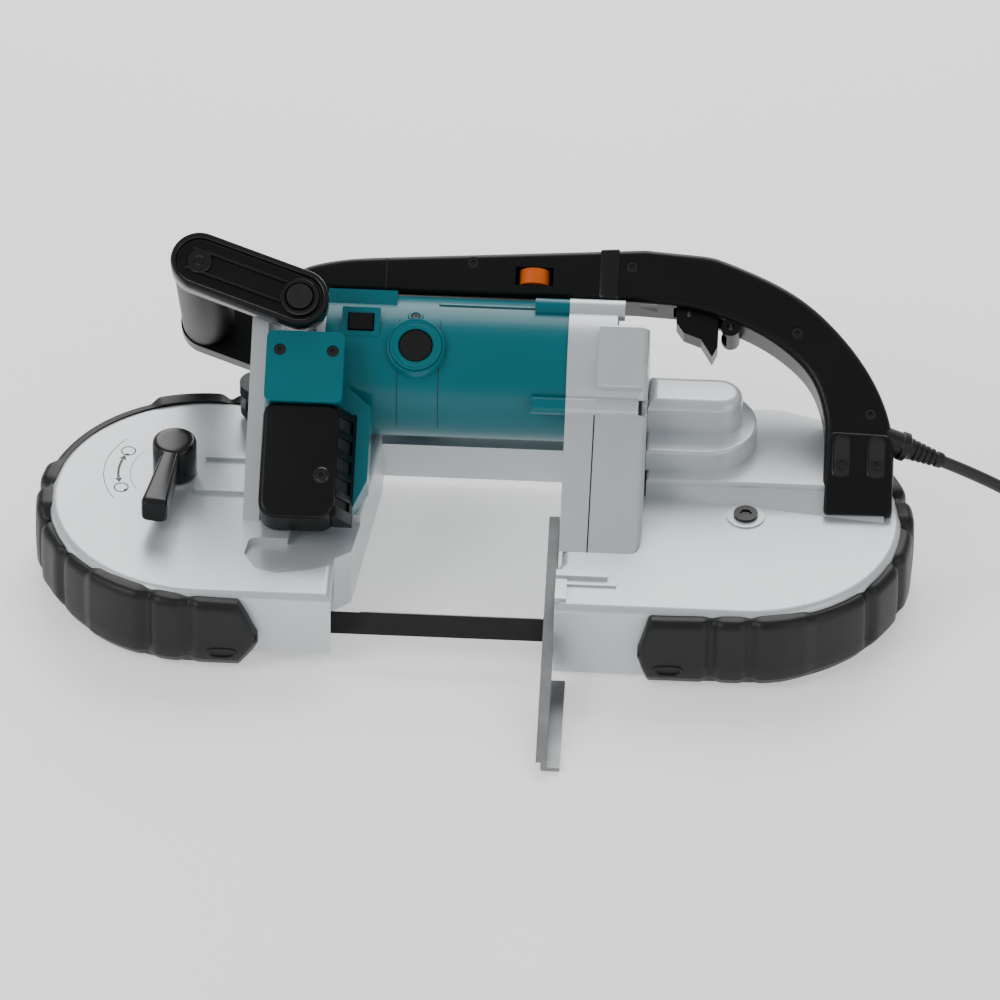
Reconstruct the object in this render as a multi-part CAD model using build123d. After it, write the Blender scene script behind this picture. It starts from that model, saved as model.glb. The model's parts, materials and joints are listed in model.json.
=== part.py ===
from build123d import *
import os
from math import atan2, cos, degrees, hypot, pi, radians, sin, tan

# Portable deep-cut band saw, lying on its open side. Millimetres.
# +X runs from the idler wheel to the drive wheel, +Z is the wheel axes' direction, -Y is the operator's
# front. The shapes are laid out with the wheels' centres at Y = 0, and everything is moved by ORIGIN_Y when it
# is written, so that the origin is at the middle of the saw's box, on the resting surface.
# The motor unit is tilted about X: its own directions are UP (away from the cut) and FWD (to the front).

ORIGIN_Y = 9.0

# Blade and wheels
BLADE_LENGTH = 1140.0
BLADE_WIDTH = 13.0
BLADE_THICKNESS = 0.5
LOOP_RADIUS = 82.0
WHEEL_X = (BLADE_LENGTH - 2 * pi * LOOP_RADIUS) / 4
BLADE_Z = 22.0
TYRE_GAP = 0.35
TYRE_RADIUS = LOOP_RADIUS - BLADE_THICKNESS / 2 - TYRE_GAP
RIM_RADIUS = TYRE_RADIUS - 3.0
WHEEL_HALF_WIDTH = 7.0
CUT_Y = -77.0
TILT = 35.0
TWIST = 90.0 - TILT
TWIST_LENGTH = 48.0

# Blade guides
GUIDE_X = (-91.0, 50.0)
GUIDE_LENGTH = 12.0
ROLLER_RADIUS = 4.5
ROLLER_PIN = 2.0

# Castings
WALL = 4.0
RIM_Z = 3.0
DECK_Z = 50.0
RAISED_Z = 62.0
HOUSING_RADIUS = 89.8
EDGE_ROUND = 4.5
IDLER_RIM_Z = 9.0
THROAT_LEFT_BACK = (-57.0, 62.0)
THROAT_LEFT_FRONT = (-69.0, -42.0)
NOSE_LEFT = (-78.0, -50.0)
THROAT_RIGHT_X = 52.0
NOSE_RIGHT = (49.5, -52.0)
BEAM_WALL_TOP = (60.0, 46.0)
BEAM_WALL_FOOT = (76.0, 10.0)
SCOOP_PLAN = [(-128.0, -37.0), (-130.0, -52.0), (-123.0, -65.0), (-110.0, -69.0), (-92.0, -65.0),
              (-50.0, -46.0), (-50.0, -12.0), (-104.0, -12.0), (-106.0, -37.0)]
SCOOP_FRONT = (-70.0, 49.4)
SCOOP_BACK = (-16.0, 43.0)

# Rubber
BUMPER_RADIUS = 97.8
BUMPER_Z = 46.0
STRAP_RADIUS = 93.6
STRAP_Z = 44.0

# Motor unit
MOTOR_UP, MOTOR_FWD = 114.5, 32.0
MOTOR_RADIUS = 40.5
MOTOR_X0, MOTOR_X1 = -90.0, 50.0
BEARING_X0 = -82.0
GEARBOX_RADIUS = 42.0
SEAM_X = 66.0
COVER_X = 97.0
WEDGE_FWD = 63.3
BOSS_OFFSET = 29.5
BRUSH_X, BRUSH_UP = -37.6, MOTOR_UP - 1.5
ROCKER = (-77.6, -62.4, 122.0, 133.0)
BOX_X0, BOX_X1 = -122.8, -78.0
BOX_UP0, BOX_UP1 = 4.0, 115.5
BOX_SPLIT_UP = 73.0
BOX_FWD = 88.0
BOX_SILL_UP = 16.0
COVER_SCREWS = [(-115.0, 104.0, BOX_FWD), (-84.5, 104.0, BOX_FWD), (-87.5, 30.0, BOX_FWD - 0.5)]

# Gear train
SPINDLE_X, SPINDLE_Y = 130.0, 55.5
DOME_RADIUS = 31.0
LAYSHAFT_Y, LAYSHAFT_Z = SPINDLE_Y, 80.0
SPUR_TEETH = (70, 10)
BEVEL_TEETH = (33, 11)
HELICAL_TEETH = (41, 9)
MESH_GAP = 0.4
BEVEL_RADIUS = 24.5

# Handles
HANDLE_FWD0, HANDLE_FWD1 = 9.5, 42.5
HANDLE_WALL = 5.0
HANDLE_END_X = 241.0
HANDLE_POINTS = [
    (240.5, 30), (240.5, 60), (238.6, 84), (226.5, 115), (204, 144.5), (174, 168), (138, 183.5), (92, 188.5),
    (-60, 178), (-96, 173), (-114, 160), (-112, 156),
    (88, 156.5), (108, 155.5), (140, 148.5), (160, 140), (178, 128), (192, 112), (199, 92), (200, 72), (200, 30),
]
HANDLE_CORE = [
    (235, 30), (233, 82), (221, 112), (200, 139), (171, 161.5), (138, 177), (92, 182), (-60, 171), (-98, 164),
    (88, 162), (112, 161), (150, 150), (163, 145.5), (181, 133), (197, 113), (206, 94), (206, 30),
]
LANYARD_HOLE = (143.2, 143.6)
HANDLE_SCREWS = [(-8, 176), (69, 169.5), (84.5, 177), (182, 140.5), (226, 93)]
TRIGGER_FWD0, TRIGGER_FWD1 = 17.5, 34.5
TRIGGER_X, TRIGGER_PIVOT_UP = 118.5, 152.0
PIVOT_X, PIVOT_UP = -105.0, 134.0
BAIL_TIP_X, BAIL_TIP_UP = -164.0, 154.0
BAIL_RADIUS = 16.5
NEAR_ARM = (80.0, 92.0)
FAR_ARM = (-32.0, -20.0)
LEVER_X, LEVER_Y = -175.0, 18.0
CAM_OFFSET = 2.5

# Supply cord
CORD_DIAMETER = 7.2
CORD_ROUTE = [
    (254.0, 46.0, 66.5),
    (272.0, 46.6, 58.5),
    (291.0, 48.4, 48.0),
    (309.0, 49.8, 37.0),
    (326.0, 49.0, 24.0),
    (343.0, 47.4, 13.0),
    (361.0, 46.4, 5.6),
    (381.0, 46.0, CORD_DIAMETER / 2 + 0.1),
]
COIL_RADIUS = 40.0
COIL_CENTRE = (392.0, 46.0 - COIL_RADIUS - CORD_DIAMETER)

UP = Vector(0, cos(radians(TILT)), sin(radians(TILT)))
FWD = Vector(0, -sin(radians(TILT)), cos(radians(TILT)))


def tilted(x, up, fwd):
    """A point of the tilted motor unit, in the saw's own frame."""
    return Vector(x, 0, 0) + UP * up + FWD * fwd


def front_plane(fwd, x=0.0, up=0.0):
    """Sketch plane facing FWD: its local axes are X and UP."""
    return Plane(origin=tilted(x, up, fwd), x_dir=(1, 0, 0), z_dir=FWD)


def side_plane(x, up=0.0, fwd=0.0):
    """Sketch plane facing +X in the tilted unit: its local axes are UP and FWD."""
    return Plane(origin=tilted(x, up, fwd), x_dir=UP, z_dir=(1, 0, 0))


def section_plane(x):
    """Sketch plane facing +X in the saw's frame: its local axes are Y and Z."""
    return Plane(origin=(x, 0, 0), x_dir=(0, 1, 0), z_dir=(1, 0, 0))


def prism(plane, outline, depth):
    """Closed polygon on a plane, extruded along the plane's normal."""
    return extrude(plane * make_face(Polyline(*outline, close=True)), amount=depth)


def block(x0, x1, y0, y1, z0, z1):
    """Axis-aligned block between two corners."""
    return Pos((x0 + x1) / 2, (y0 + y1) / 2, (z0 + z1) / 2) * Box(x1 - x0, y1 - y0, z1 - z0)


def tilted_block(x0, x1, up0, up1, fwd0, fwd1):
    """Block aligned with the tilted motor unit."""
    outline = [(x0, up0), (x1, up0), (x1, up1), (x0, up1)]
    return prism(front_plane(fwd0), outline, fwd1 - fwd0)


def rod(plane, radius, length):
    """Round bar standing on a plane."""
    return extrude(plane * Circle(radius), amount=length)


def upright(x, y, z, radius, length):
    """Round bar along Z."""
    return rod(Plane(origin=(x, y, z)), radius, length)


def bar_x(x0, x1, up, fwd, radius):
    """Round bar along X, placed in the tilted unit."""
    return rod(side_plane(x0, up, fwd), radius, x1 - x0)


def bar_fwd(x, up, fwd0, fwd1, radius):
    """Round bar along FWD."""
    return rod(front_plane(fwd0, x, up), radius, fwd1 - fwd0)


def tube_between(plane, outer, inner, length):
    """Plain round tube or ring."""
    return extrude(plane * (Circle(outer) - Circle(inner)), amount=length)


def rounded(solid, edges, radius):
    """Fillet that keeps the sharp solid when the edge loop can't take the radius."""
    for size in (radius, radius * 0.6, radius * 0.3):
        try:
            result = fillet(edges, size)
        except Exception:
            continue
        if result.is_valid and result.volume > 0:
            return result
    return solid


NODES = {}


def keep(name, *solids):
    """Registers one node as a group of separate solids, moved to the part's origin."""
    found = [Solid((Pos(0, ORIGIN_Y, 0) * s).wrapped) for item in solids for s in item.solids()]
    NODES[name] = Compound(children=found) if len(found) > 1 else found[0]


# ---------------------------------------------------------------- housings
def idler_plan():
    """Plan outline of the idler-side casting."""
    r = HOUSING_RADIUS
    edges = [
        Line((-WHEEL_X, -r), (NOSE_LEFT[0], -r)),
        Line((NOSE_LEFT[0], -r), NOSE_LEFT),
        Line(NOSE_LEFT, THROAT_LEFT_FRONT),
        Line(THROAT_LEFT_FRONT, THROAT_LEFT_BACK),
        Line(THROAT_LEFT_BACK, (THROAT_LEFT_BACK[0], r)),
        Line((THROAT_LEFT_BACK[0], r), (-WHEEL_X, r)),
        ThreePointArc((-WHEEL_X, r), (-WHEEL_X - r, 0), (-WHEEL_X, -r)),
    ]
    return make_face(Wire(edges))


def drive_plan():
    """Plan outline of the drive-side casting."""
    r = HOUSING_RADIUS
    edges = [
        Line((WHEEL_X, r), (THROAT_RIGHT_X, r)),
        Line((THROAT_RIGHT_X, r), (THROAT_RIGHT_X, NOSE_RIGHT[1] + 4)),
        Line((THROAT_RIGHT_X, NOSE_RIGHT[1] + 4), NOSE_RIGHT),
        Line(NOSE_RIGHT, (NOSE_RIGHT[0], -r)),
        Line((NOSE_RIGHT[0], -r), (WHEEL_X, -r)),
        ThreePointArc((WHEEL_X, -r), (WHEEL_X + r, 0), (WHEEL_X, r)),
    ]
    return make_face(Wire(edges))


def shell_from_plan(plan, rim):
    """Open-bottomed casting with one wall thickness and a rounded deck edge, down to a rim height."""
    outer = extrude(Pos(0, 0, rim) * plan, amount=DECK_Z - rim)
    top = outer.faces().sort_by(Axis.Z)[-1]
    outer = rounded(outer, top.edges(), EDGE_ROUND)
    inner = offset(plan, amount=-WALL, kind=Kind.INTERSECTION)
    cavity = extrude(Pos(0, 0, RIM_Z - 1) * inner, amount=DECK_Z - WALL - RIM_Z + 1)
    return outer, cavity


def return_blade_slot(x0, x1):
    """Channel that the blade's return run passes through."""
    return block(x0, x1, 77.5, 86.0, 0, 33)


def deck_scoop():
    """Hollow in the idler deck under the blower box, deepening to the back, with soft corners."""
    (y0, z0), (y1, z1) = SCOOP_FRONT, SCOOP_BACK
    plan = extrude(Pos(0, 0, DECK_Z - 12) * make_face(Polyline(*SCOOP_PLAN, close=True)), amount=20)
    over_floor = [(y0 - 3, z0 + 0.4), (y1, z1), (y1 + 40, z1), (y1 + 40, 90), (y0 - 3, 90)]
    above = prism(section_plane(-200), over_floor, 200)
    scoop = plan & above
    return rounded(scoop, scoop.edges().filter_by(Axis.Z).sort_by(Axis.X)[:3], 5.0)


def idler_housing():
    """Casting over the idler wheel, with the lever's seat, the carriage rails and the deck's scoop."""
    outer, cavity = shell_from_plan(idler_plan(), IDLER_RIM_Z)
    casting = outer - cavity
    casting -= block(-92, -70, -HOUSING_RADIUS + 3, -57, 0, DECK_Z - WALL)
    casting -= return_blade_slot(-80, -50)
    # Lever shaft bore and its thickened seat
    casting += upright(LEVER_X, LEVER_Y, DECK_Z - 1, 13.5, 3)
    casting += upright(LEVER_X, LEVER_Y, 43, 11, 5)
    casting -= upright(LEVER_X, LEVER_Y, 40, 5.05, 20)
    # Two rails that guide the tension carriage
    for y in (-31.0, 39.0):
        casting += block(-212, -112, y - 4, y + 4, 35.5, DECK_Z - WALL + 1)
    # Seat of the tension spring's rod
    casting += block(-243, -228, -12, 4, 34, DECK_Z - WALL + 1)
    # Raised ribs and pads on the deck
    for y0, y1, x0 in ((33, 37, -158), (2, 8, -163)):
        casting += block(x0, -134, y0, y1, DECK_Z - 1, DECK_Z + 2.2)
    # Local thickening over the scoop
    thick = [(-134, -70), (-70, -70), (-64, -28), (-134, -28)]
    casting += prism(Plane(origin=(0, 0, DECK_Z - WALL - 6)), thick, 7) & cavity
    thick = [(-110, -30), (-61.5, -30), (-61.5, -8), (-110, -8)]
    casting += prism(Plane(origin=(0, 0, DECK_Z - WALL - 7)), thick, 8) & cavity
    return casting - deck_scoop() - guide_cavity(GUIDE_X[0])


def drive_housing():
    """Casting over the drive wheel, with the raised gear chamber, the spindle's seats and the stop's pads."""
    outer, cavity = shell_from_plan(drive_plan(), RIM_Z)
    # Raised gear chamber over the back half of the deck
    chamber = [(98, 15.5), (232, 15.5), (240, 28), (226, 58), (202, 78), (176, 87), (98, 87)]
    raised = prism(Plane(origin=(0, 0, DECK_Z - 2)), chamber, RAISED_Z - DECK_Z + 2)
    raised = rounded(raised, raised.faces().sort_by(Axis.Z)[-1].edges(), 2.0)
    raised &= extrude(Pos(0, 0, RIM_Z) * offset(drive_plan(), amount=-1.0), amount=RAISED_Z)
    # Sloped apron that widens towards the outer end
    apron = Polyline((98, 16, DECK_Z), (236, -1, DECK_Z), (236, 16, DECK_Z), close=True)
    crest = Polyline((98, 15.8, RAISED_Z - 3), (234, 15.2, RAISED_Z - 3), (234, 16, RAISED_Z - 3), close=True)
    slope = loft([make_face(apron), make_face(crest)])
    casting = outer + raised + slope - cavity
    hollow = [(102, 19.5), (206, 19.5), (196, 70), (168, 80), (102, 80)]
    casting -= prism(Plane(origin=(0, 0, DECK_Z - 0.1)), hollow, RAISED_Z - DECK_Z - WALL)
    # Spindle bearing seats
    casting += upright(SPINDLE_X, SPINDLE_Y, DECK_Z - 6.5, 15, 7)
    casting -= upright(SPINDLE_X, SPINDLE_Y, 40, 11.0, 25)
    casting += upright(WHEEL_X, 0, DECK_Z - 1, 11, 2)
    # Openings for both blade runs
    casting -= return_blade_slot(45, 60)
    casting -= block(45, 62, -HOUSING_RADIUS + 3, -59, 0, DECK_Z - WALL)
    # Stop plate's pad on the nose and the two ribs around it
    casting += block(49.5, 79, -65, -59.5, DECK_Z - 1, DECK_Z + 3.5)
    casting += block(49.5, 56, -84, -62, DECK_Z - 1, DECK_Z + 2.0)
    casting += block(56, 84, -70, -65, DECK_Z - 1, DECK_Z + 1.2)
    return casting


def frame_beam():
    """Bar behind the throat, with its wall leaning under the motor."""
    r = HOUSING_RADIUS
    outline = [BEAM_WALL_FOOT, BEAM_WALL_TOP, (84, 46), (r, 41), (r, 10)]
    bar = prism(section_plane(THROAT_LEFT_BACK[0]), outline, THROAT_RIGHT_X - THROAT_LEFT_BACK[0])
    return bar - return_blade_slot(-70, 60)


def frame_post():
    """Upright plate on the idler deck, with the front handle's pivot tube and its web to the motor."""
    plate = [(-22, DECK_Z), (76, 136), (96, 118), (44, DECK_Z)]
    post = prism(section_plane(-133), plate, 9.5)
    post += tilted_block(-131, -93, 121, 148, 10, 62)
    post += bar_fwd(PIVOT_X, PIVOT_UP, FAR_ARM[1], NEAR_ARM[0], 14.4)
    post += bar_x(-95.5, MOTOR_X0 - 0.2, MOTOR_UP, MOTOR_FWD, MOTOR_RADIUS - 0.5)
    post += bar_x(MOTOR_X0 - 1, BEARING_X0 + 7, MOTOR_UP, MOTOR_FWD, 14.5)
    post -= bar_fwd(PIVOT_X, PIVOT_UP, FAR_ARM[1] - 1, NEAR_ARM[0] + 1, 5.0)
    post -= bar_x(BEARING_X0 - 4, 0, MOTOR_UP, MOTOR_FWD, 11.0)
    return post


def gear_section(grow=0.0):
    """Wedge from the deck to the motor's round, in the tilted section, grown by a wall."""
    r = GEARBOX_RADIUS + grow
    front = WEDGE_FWD + grow
    deck_up = (DECK_Z - cos(radians(TILT)) * front) / sin(radians(TILT))
    back = MOTOR_FWD - r
    back_up = (DECK_Z - cos(radians(TILT)) * back) / sin(radians(TILT))
    touch = MOTOR_UP - (r**2 - (front - MOTOR_FWD) ** 2) ** 0.5
    middle = (MOTOR_UP + r * sin(radians(45)), MOTOR_FWD + r * cos(radians(45)))
    edges = [
        Line((deck_up, front), (touch, front)),
        ThreePointArc((touch, front), middle, (MOTOR_UP + r, MOTOR_FWD)),
        ThreePointArc((MOTOR_UP + r, MOTOR_FWD),
                      (MOTOR_UP + r * cos(radians(45)), MOTOR_FWD - r * sin(radians(45))),
                      (MOTOR_UP, back)),
        Line((MOTOR_UP, back), (back_up, back)),
        Line((back_up, back), (deck_up, front)),
    ]
    return make_face(Wire(edges))


def boss_positions():
    """Bolt bosses that tie the motor housing to the gear housing."""
    up, fwd, far = MOTOR_UP, MOTOR_FWD, BOSS_OFFSET
    return [(up + far, fwd + far - 1), (up - far, fwd + far), (up + far, fwd - far), (up - 8, fwd - GEARBOX_RADIUS)]


def above_deck():
    """Everything over the deck plane."""
    return block(-300, 300, -200, 300, DECK_Z, 400)


def gear_housing():
    """Casting between the motor and the seam, standing on the throat side of the drive deck."""
    body = extrude(side_plane(MOTOR_X1) * gear_section(), amount=SEAM_X - MOTOR_X1)
    for up, fwd in boss_positions():
        body += bar_x(MOTOR_X1, SEAM_X, up, fwd, 6.0)
    body &= above_deck()
    body &= block(MOTOR_X1, SEAM_X, -200, HOUSING_RADIUS - 0.2, DECK_Z, 400) + block(
        MOTOR_X1, SEAM_X, -200, 300, 75, 400)
    cavity = extrude(side_plane(MOTOR_X1 + WALL) * gear_section(-WALL), amount=60)
    body -= cavity & block(MOTOR_X1 + WALL, 200, -200, 300, DECK_Z + WALL, 400)
    body -= bar_x(40, 60, MOTOR_UP, MOTOR_FWD, 11.0)
    return body


def gear_cover():
    """Casting beyond the seam: the leg on the deck, the square cheek and the motor-side round."""
    body = extrude(side_plane(SEAM_X) * gear_section(), amount=COVER_X - SEAM_X)
    body = rounded(body, body.faces().sort_by(Axis.X)[-1].edges(), 6.0)
    keep_top = block(SEAM_X, 78, -300, 300, 0, 400) + tilted_block(SEAM_X, 200, -100, 131, -100, 200)
    body &= keep_top
    cheek = tilted_block(SEAM_X + 2, COVER_X - 3, 93, 131, 20, 76)
    cheek = rounded(cheek, cheek.edges().filter_by(Axis.X), 2.5)
    body += cheek
    body += bar_x(SEAM_X, COVER_X - 5, MOTOR_UP - BOSS_OFFSET, MOTOR_FWD + BOSS_OFFSET, 6.0)
    body += bar_x(SEAM_X, 82, MOTOR_UP + BOSS_OFFSET, MOTOR_FWD + BOSS_OFFSET - 1, 6.0)
    for x, up, fwd in screw_places():
        body -= bar_x(x, x + 40, up, fwd, 4.8)
    body &= above_deck()
    body &= block(SEAM_X, 200, -200, HOUSING_RADIUS - 0.2, DECK_Z, 400) + block(SEAM_X, 200, -200, 300, 75, 400)
    cavity = extrude(side_plane(SEAM_X - 1) * gear_section(-WALL), amount=COVER_X - SEAM_X + 1 - WALL)
    body -= cavity & block(0, 200, -200, 300, DECK_Z + WALL, 400) & keep_top
    body -= rod(section_plane(80) * Pos(LAYSHAFT_Y, LAYSHAFT_Z), 11.0, 40)
    return body


def screw_places():
    """Seats of the socket screws in the right ends of the front bolt bosses: X, UP and FWD."""
    high, low = boss_positions()[:2]
    return [(77.0, *high), (COVER_X - 8, *low)]


def spindle_dome():
    """Two-storey cover over the bevel gears: a D-shaped flange and a nose along the layshaft."""
    x0 = COVER_X + 0.2
    flange = extrude(Pos(0, 0, RAISED_Z) * stadium_plan(x0, SPINDLE_X, SPINDLE_Y, DOME_RADIUS), amount=14)
    flange = rounded(flange, flange.faces().sort_by(Axis.Z)[-1].edges(), 2.0)
    nose = extrude(Pos(0, 0, RAISED_Z + 8) * stadium_plan(x0, 138, 57, 14.0), amount=27)
    nose = rounded(nose, nose.faces().sort_by(Axis.Z)[-1].edges(), 6.0)
    dome = flange + nose
    floor = Pos(0, 0, RAISED_Z - 1)
    dome -= extrude(floor * stadium_plan(x0 - 2, SPINDLE_X, SPINDLE_Y, DOME_RADIUS - 3.5), amount=11.2)
    return dome - extrude(floor * stadium_plan(x0 - 2, 135, 57, 11.0), amount=31)


def stadium_plan(x0, xc, yc, radius):
    """Plan of a straight stretch that ends in a half round at xc."""
    edges = [
        Line((x0, yc - radius), (xc, yc - radius)),
        ThreePointArc((xc, yc - radius), (xc + radius, yc), (xc, yc + radius)),
        Line((xc, yc + radius), (x0, yc + radius)),
        Line((x0, yc + radius), (x0, yc - radius)),
    ]
    return make_face(Wire(edges))


# ---------------------------------------------------------------- wheels and gears
def toothed_disc(radius, teeth, height, depth):
    """Gear blank with straight teeth, seen in plan round its own axis."""
    points = []
    for i in range(teeth):
        for share, r in ((0.0, radius - depth), (0.3, radius - depth), (0.42, radius), (0.78, radius)):
            a = 2 * pi * (i + share) / teeth
            points.append((r * cos(a), r * sin(a)))
    return extrude(make_face(Polyline(*points, close=True)), amount=height)


def band_wheel(x):
    """Wheel with a rim, a web with round holes and a hub, its bearing seat bored through."""
    low = BLADE_Z - WHEEL_HALF_WIDTH
    wheel = tube_between(Plane(origin=(x, 0, low)), RIM_RADIUS, RIM_RADIUS - 6, 2 * WHEEL_HALF_WIDTH)
    web = upright(x, 0, BLADE_Z - 2, RIM_RADIUS - 5, 4)
    for i in range(6):
        a = 2 * pi * i / 6
        web -= upright(x + 43 * cos(a), 43 * sin(a), 0, 13, 60)
    wheel += web
    wheel += upright(x, 0, BLADE_Z - 9, 17, 20)
    return wheel - upright(x, 0, 0, 11.0, 60)


def tyre(x):
    """Rubber tyre on a wheel's rim."""
    low = BLADE_Z - WHEEL_HALF_WIDTH
    return tube_between(Plane(origin=(x, 0, low)), TYRE_RADIUS, RIM_RADIUS, 2 * WHEEL_HALF_WIDTH)


def wheel_bearings(x):
    """Two ball bearings pressed in the hub, running on the axle."""
    low = BLADE_Z - 9
    return [tube_between(Plane(origin=(x, 0, z)), 11.0, 5.04, 7) for z in (low, low + 13)]


def spur_radii():
    """Outer radii of the ring gear and the spindle pinion, just clear of each other."""
    distance = hypot(SPINDLE_X - WHEEL_X, SPINDLE_Y)
    big, small = SPUR_TEETH
    return distance * big / (big + small) - MESH_GAP / 2, distance * small / (big + small) - MESH_GAP / 2


def ring_gear():
    """Large spur gear carried by the drive wheel's hub."""
    disc = Pos(WHEEL_X, 0, BLADE_Z + 11) * toothed_disc(spur_radii()[0], SPUR_TEETH[0], 7.5, 2.4)
    return disc - upright(WHEEL_X, 0, 0, 11.0, 60)


def spindle_set():
    """Spindle with its pinion and bevel gear."""
    pinion = Pos(SPINDLE_X, SPINDLE_Y, BLADE_Z + 11) * toothed_disc(spur_radii()[1], SPUR_TEETH[1], 8.5, 1.8)
    shaft = upright(SPINDLE_X, SPINDLE_Y, BLADE_Z + 19, 5.0, 44)
    gear = Pos(SPINDLE_X, SPINDLE_Y, RAISED_Z + 1.9) * toothed_disc(BEVEL_RADIUS, BEVEL_TEETH[0], 7.5, 1.6)
    return shaft + pinion, gear - upright(SPINDLE_X, SPINDLE_Y, 0, 5.0, 100)


def layshaft_set():
    """Layshaft along X, with a bevel pinion cut on one end and a helical gear pressed on the other."""
    centre = hypot(motor_point().Y - LAYSHAFT_Y, motor_point().Z - LAYSHAFT_Z)
    big, small = HELICAL_TEETH
    gear_radius = centre * big / (big + small) - MESH_GAP / 2
    bevel_radius = BEVEL_RADIUS * BEVEL_TEETH[1] / BEVEL_TEETH[0]
    at = Pos(LAYSHAFT_Y, LAYSHAFT_Z)
    shaft = extrude(section_plane(58) * at * Circle(4.0), amount=60)
    pinion = section_plane(SPINDLE_X - 24) * at * toothed_disc(bevel_radius, BEVEL_TEETH[1], 12, 1.6)
    gear = section_plane(72) * at * toothed_disc(gear_radius, big, 9, 1.4)
    return shaft + pinion, gear - extrude(section_plane(50) * at * Circle(4.0), amount=80)


def gear_bearings():
    """Ball bearings of the spindle and the layshaft, seated in the castings."""
    rings = [tube_between(Plane(origin=(SPINDLE_X, SPINDLE_Y, z)), 11.0, 5.04, 5.5)
             for z in (DECK_Z - 6, RAISED_Z - 5.5)]
    at = Pos(LAYSHAFT_Y, LAYSHAFT_Z)
    rings.append(extrude(section_plane(COVER_X - WALL) * at * (Circle(9.0) - Circle(4.04)), amount=6.5))
    rings.append(extrude(section_plane(60) * at * (Circle(9.0) - Circle(4.04)), amount=6.0))
    return rings


def motor_point():
    """A point of the motor's axis."""
    return tilted(0, MOTOR_UP, MOTOR_FWD)


def motor_pinion_radius():
    """Radius of the pinion cut on the armature's shaft."""
    centre = hypot(motor_point().Y - LAYSHAFT_Y, motor_point().Z - LAYSHAFT_Z)
    big, small = HELICAL_TEETH
    return centre * small / (big + small) - MESH_GAP / 2


# ---------------------------------------------------------------- motor
def motor_housing():
    """Round casing with its bolt bosses, brush bosses, square shoulder and rocker pad."""
    body = bar_x(MOTOR_X0, MOTOR_X1, MOTOR_UP, MOTOR_FWD, MOTOR_RADIUS)
    for up, fwd in boss_positions()[:3]:
        body += bar_x(MOTOR_X1 - 20, MOTOR_X1, up, fwd, 5.5)
    for side in (-1, 1):
        ends = sorted((MOTOR_FWD + side * 30, MOTOR_FWD + side * 45))
        body += bar_fwd(BRUSH_X, BRUSH_UP, *ends, 15.0)
    body += tilted_block(MOTOR_X0, -50, MOTOR_UP + 2, MOTOR_UP + 36, MOTOR_FWD, MOTOR_FWD + 30)
    body += tilted_block(-81, -59, 119, 136.5, MOTOR_FWD + 28, MOTOR_FWD + 40.5)
    body -= bar_x(MOTOR_X0 - 1, MOTOR_X1 + 1, MOTOR_UP, MOTOR_FWD, MOTOR_RADIUS - 3.0)
    body -= tilted_block(*ROCKER, MOTOR_FWD + 20, MOTOR_FWD + 60)
    body -= bar_fwd(BRUSH_X, BRUSH_UP, MOTOR_FWD - 60, MOTOR_FWD + 60, 10.0)
    return body


def lamp_switch():
    """Rocker of the work lamp, in its window over the brush end."""
    x0, x1, up0, up1 = ROCKER
    rocker = tilted_block(x0 + 0.7, x1 - 0.7, up0 + 0.6, up1 - 0.6, MOTOR_FWD + 33, MOTOR_FWD + 42)
    return rocker - rod(Plane(origin=tilted((x0 + x1) / 2, up0, 69), z_dir=UP), 1.0, up1 - up0)


def fan_vane(turn):
    """One radial vane of the cooling fan."""
    outline = Pos(21, 0) * Rectangle(19, 1.8)
    return extrude(side_plane(37, MOTOR_UP, MOTOR_FWD) * Rot(0, 0, turn) * outline, amount=9)


def motor_insides():
    """Stator, armature with its shaft and fan, commutator, brushes and bearings."""
    stator = tube_between(side_plane(-15, MOTOR_UP, MOTOR_FWD), MOTOR_RADIUS - 3.0, 22.5, 50)
    shaft = bar_x(-84, 68, MOTOR_UP, MOTOR_FWD, 4.0)
    core = bar_x(-14, 33, MOTOR_UP, MOTOR_FWD, 21.5)
    commutator = bar_x(-44, -22, MOTOR_UP, MOTOR_FWD, 13.0)
    pinion = side_plane(66, MOTOR_UP, MOTOR_FWD) * toothed_disc(motor_pinion_radius(), HELICAL_TEETH[1], 16, 0.9)
    armature = shaft + core + commutator + pinion
    fan = bar_x(37, 39.5, MOTOR_UP, MOTOR_FWD, 31) + bar_x(37, 46, MOTOR_UP, MOTOR_FWD, 12)
    for i in range(12):
        fan += fan_vane(30 * i)
    fan -= bar_x(-90, 90, MOTOR_UP, MOTOR_FWD, 4.0)
    bearings = [tube_between(side_plane(x, MOTOR_UP, MOTOR_FWD), 11.0, 4.04, 7) for x in (BEARING_X0, MOTOR_X1)]
    brushes = []
    for side in (-1, 1):
        ends = sorted((MOTOR_FWD + side * 13.4, MOTOR_FWD + side * 34))
        brushes.append(bar_fwd(BRUSH_X, MOTOR_UP, *ends, 4.5))
    return stator, armature, fan, bearings, brushes


def brush_caps():
    """Two slotted screw caps over the brushes."""
    caps = []
    for side in (-1, 1):
        ends = sorted((MOTOR_FWD + side * 35, MOTOR_FWD + side * 43.5))
        cap = bar_fwd(BRUSH_X, BRUSH_UP, *ends, 9.9)
        slot = sorted((MOTOR_FWD + side * 42, MOTOR_FWD + side * 46))
        caps.append(cap - tilted_block(BRUSH_X - 7, BRUSH_X + 7, BRUSH_UP - 1, BRUSH_UP + 1, *slot))
    return caps


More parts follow.
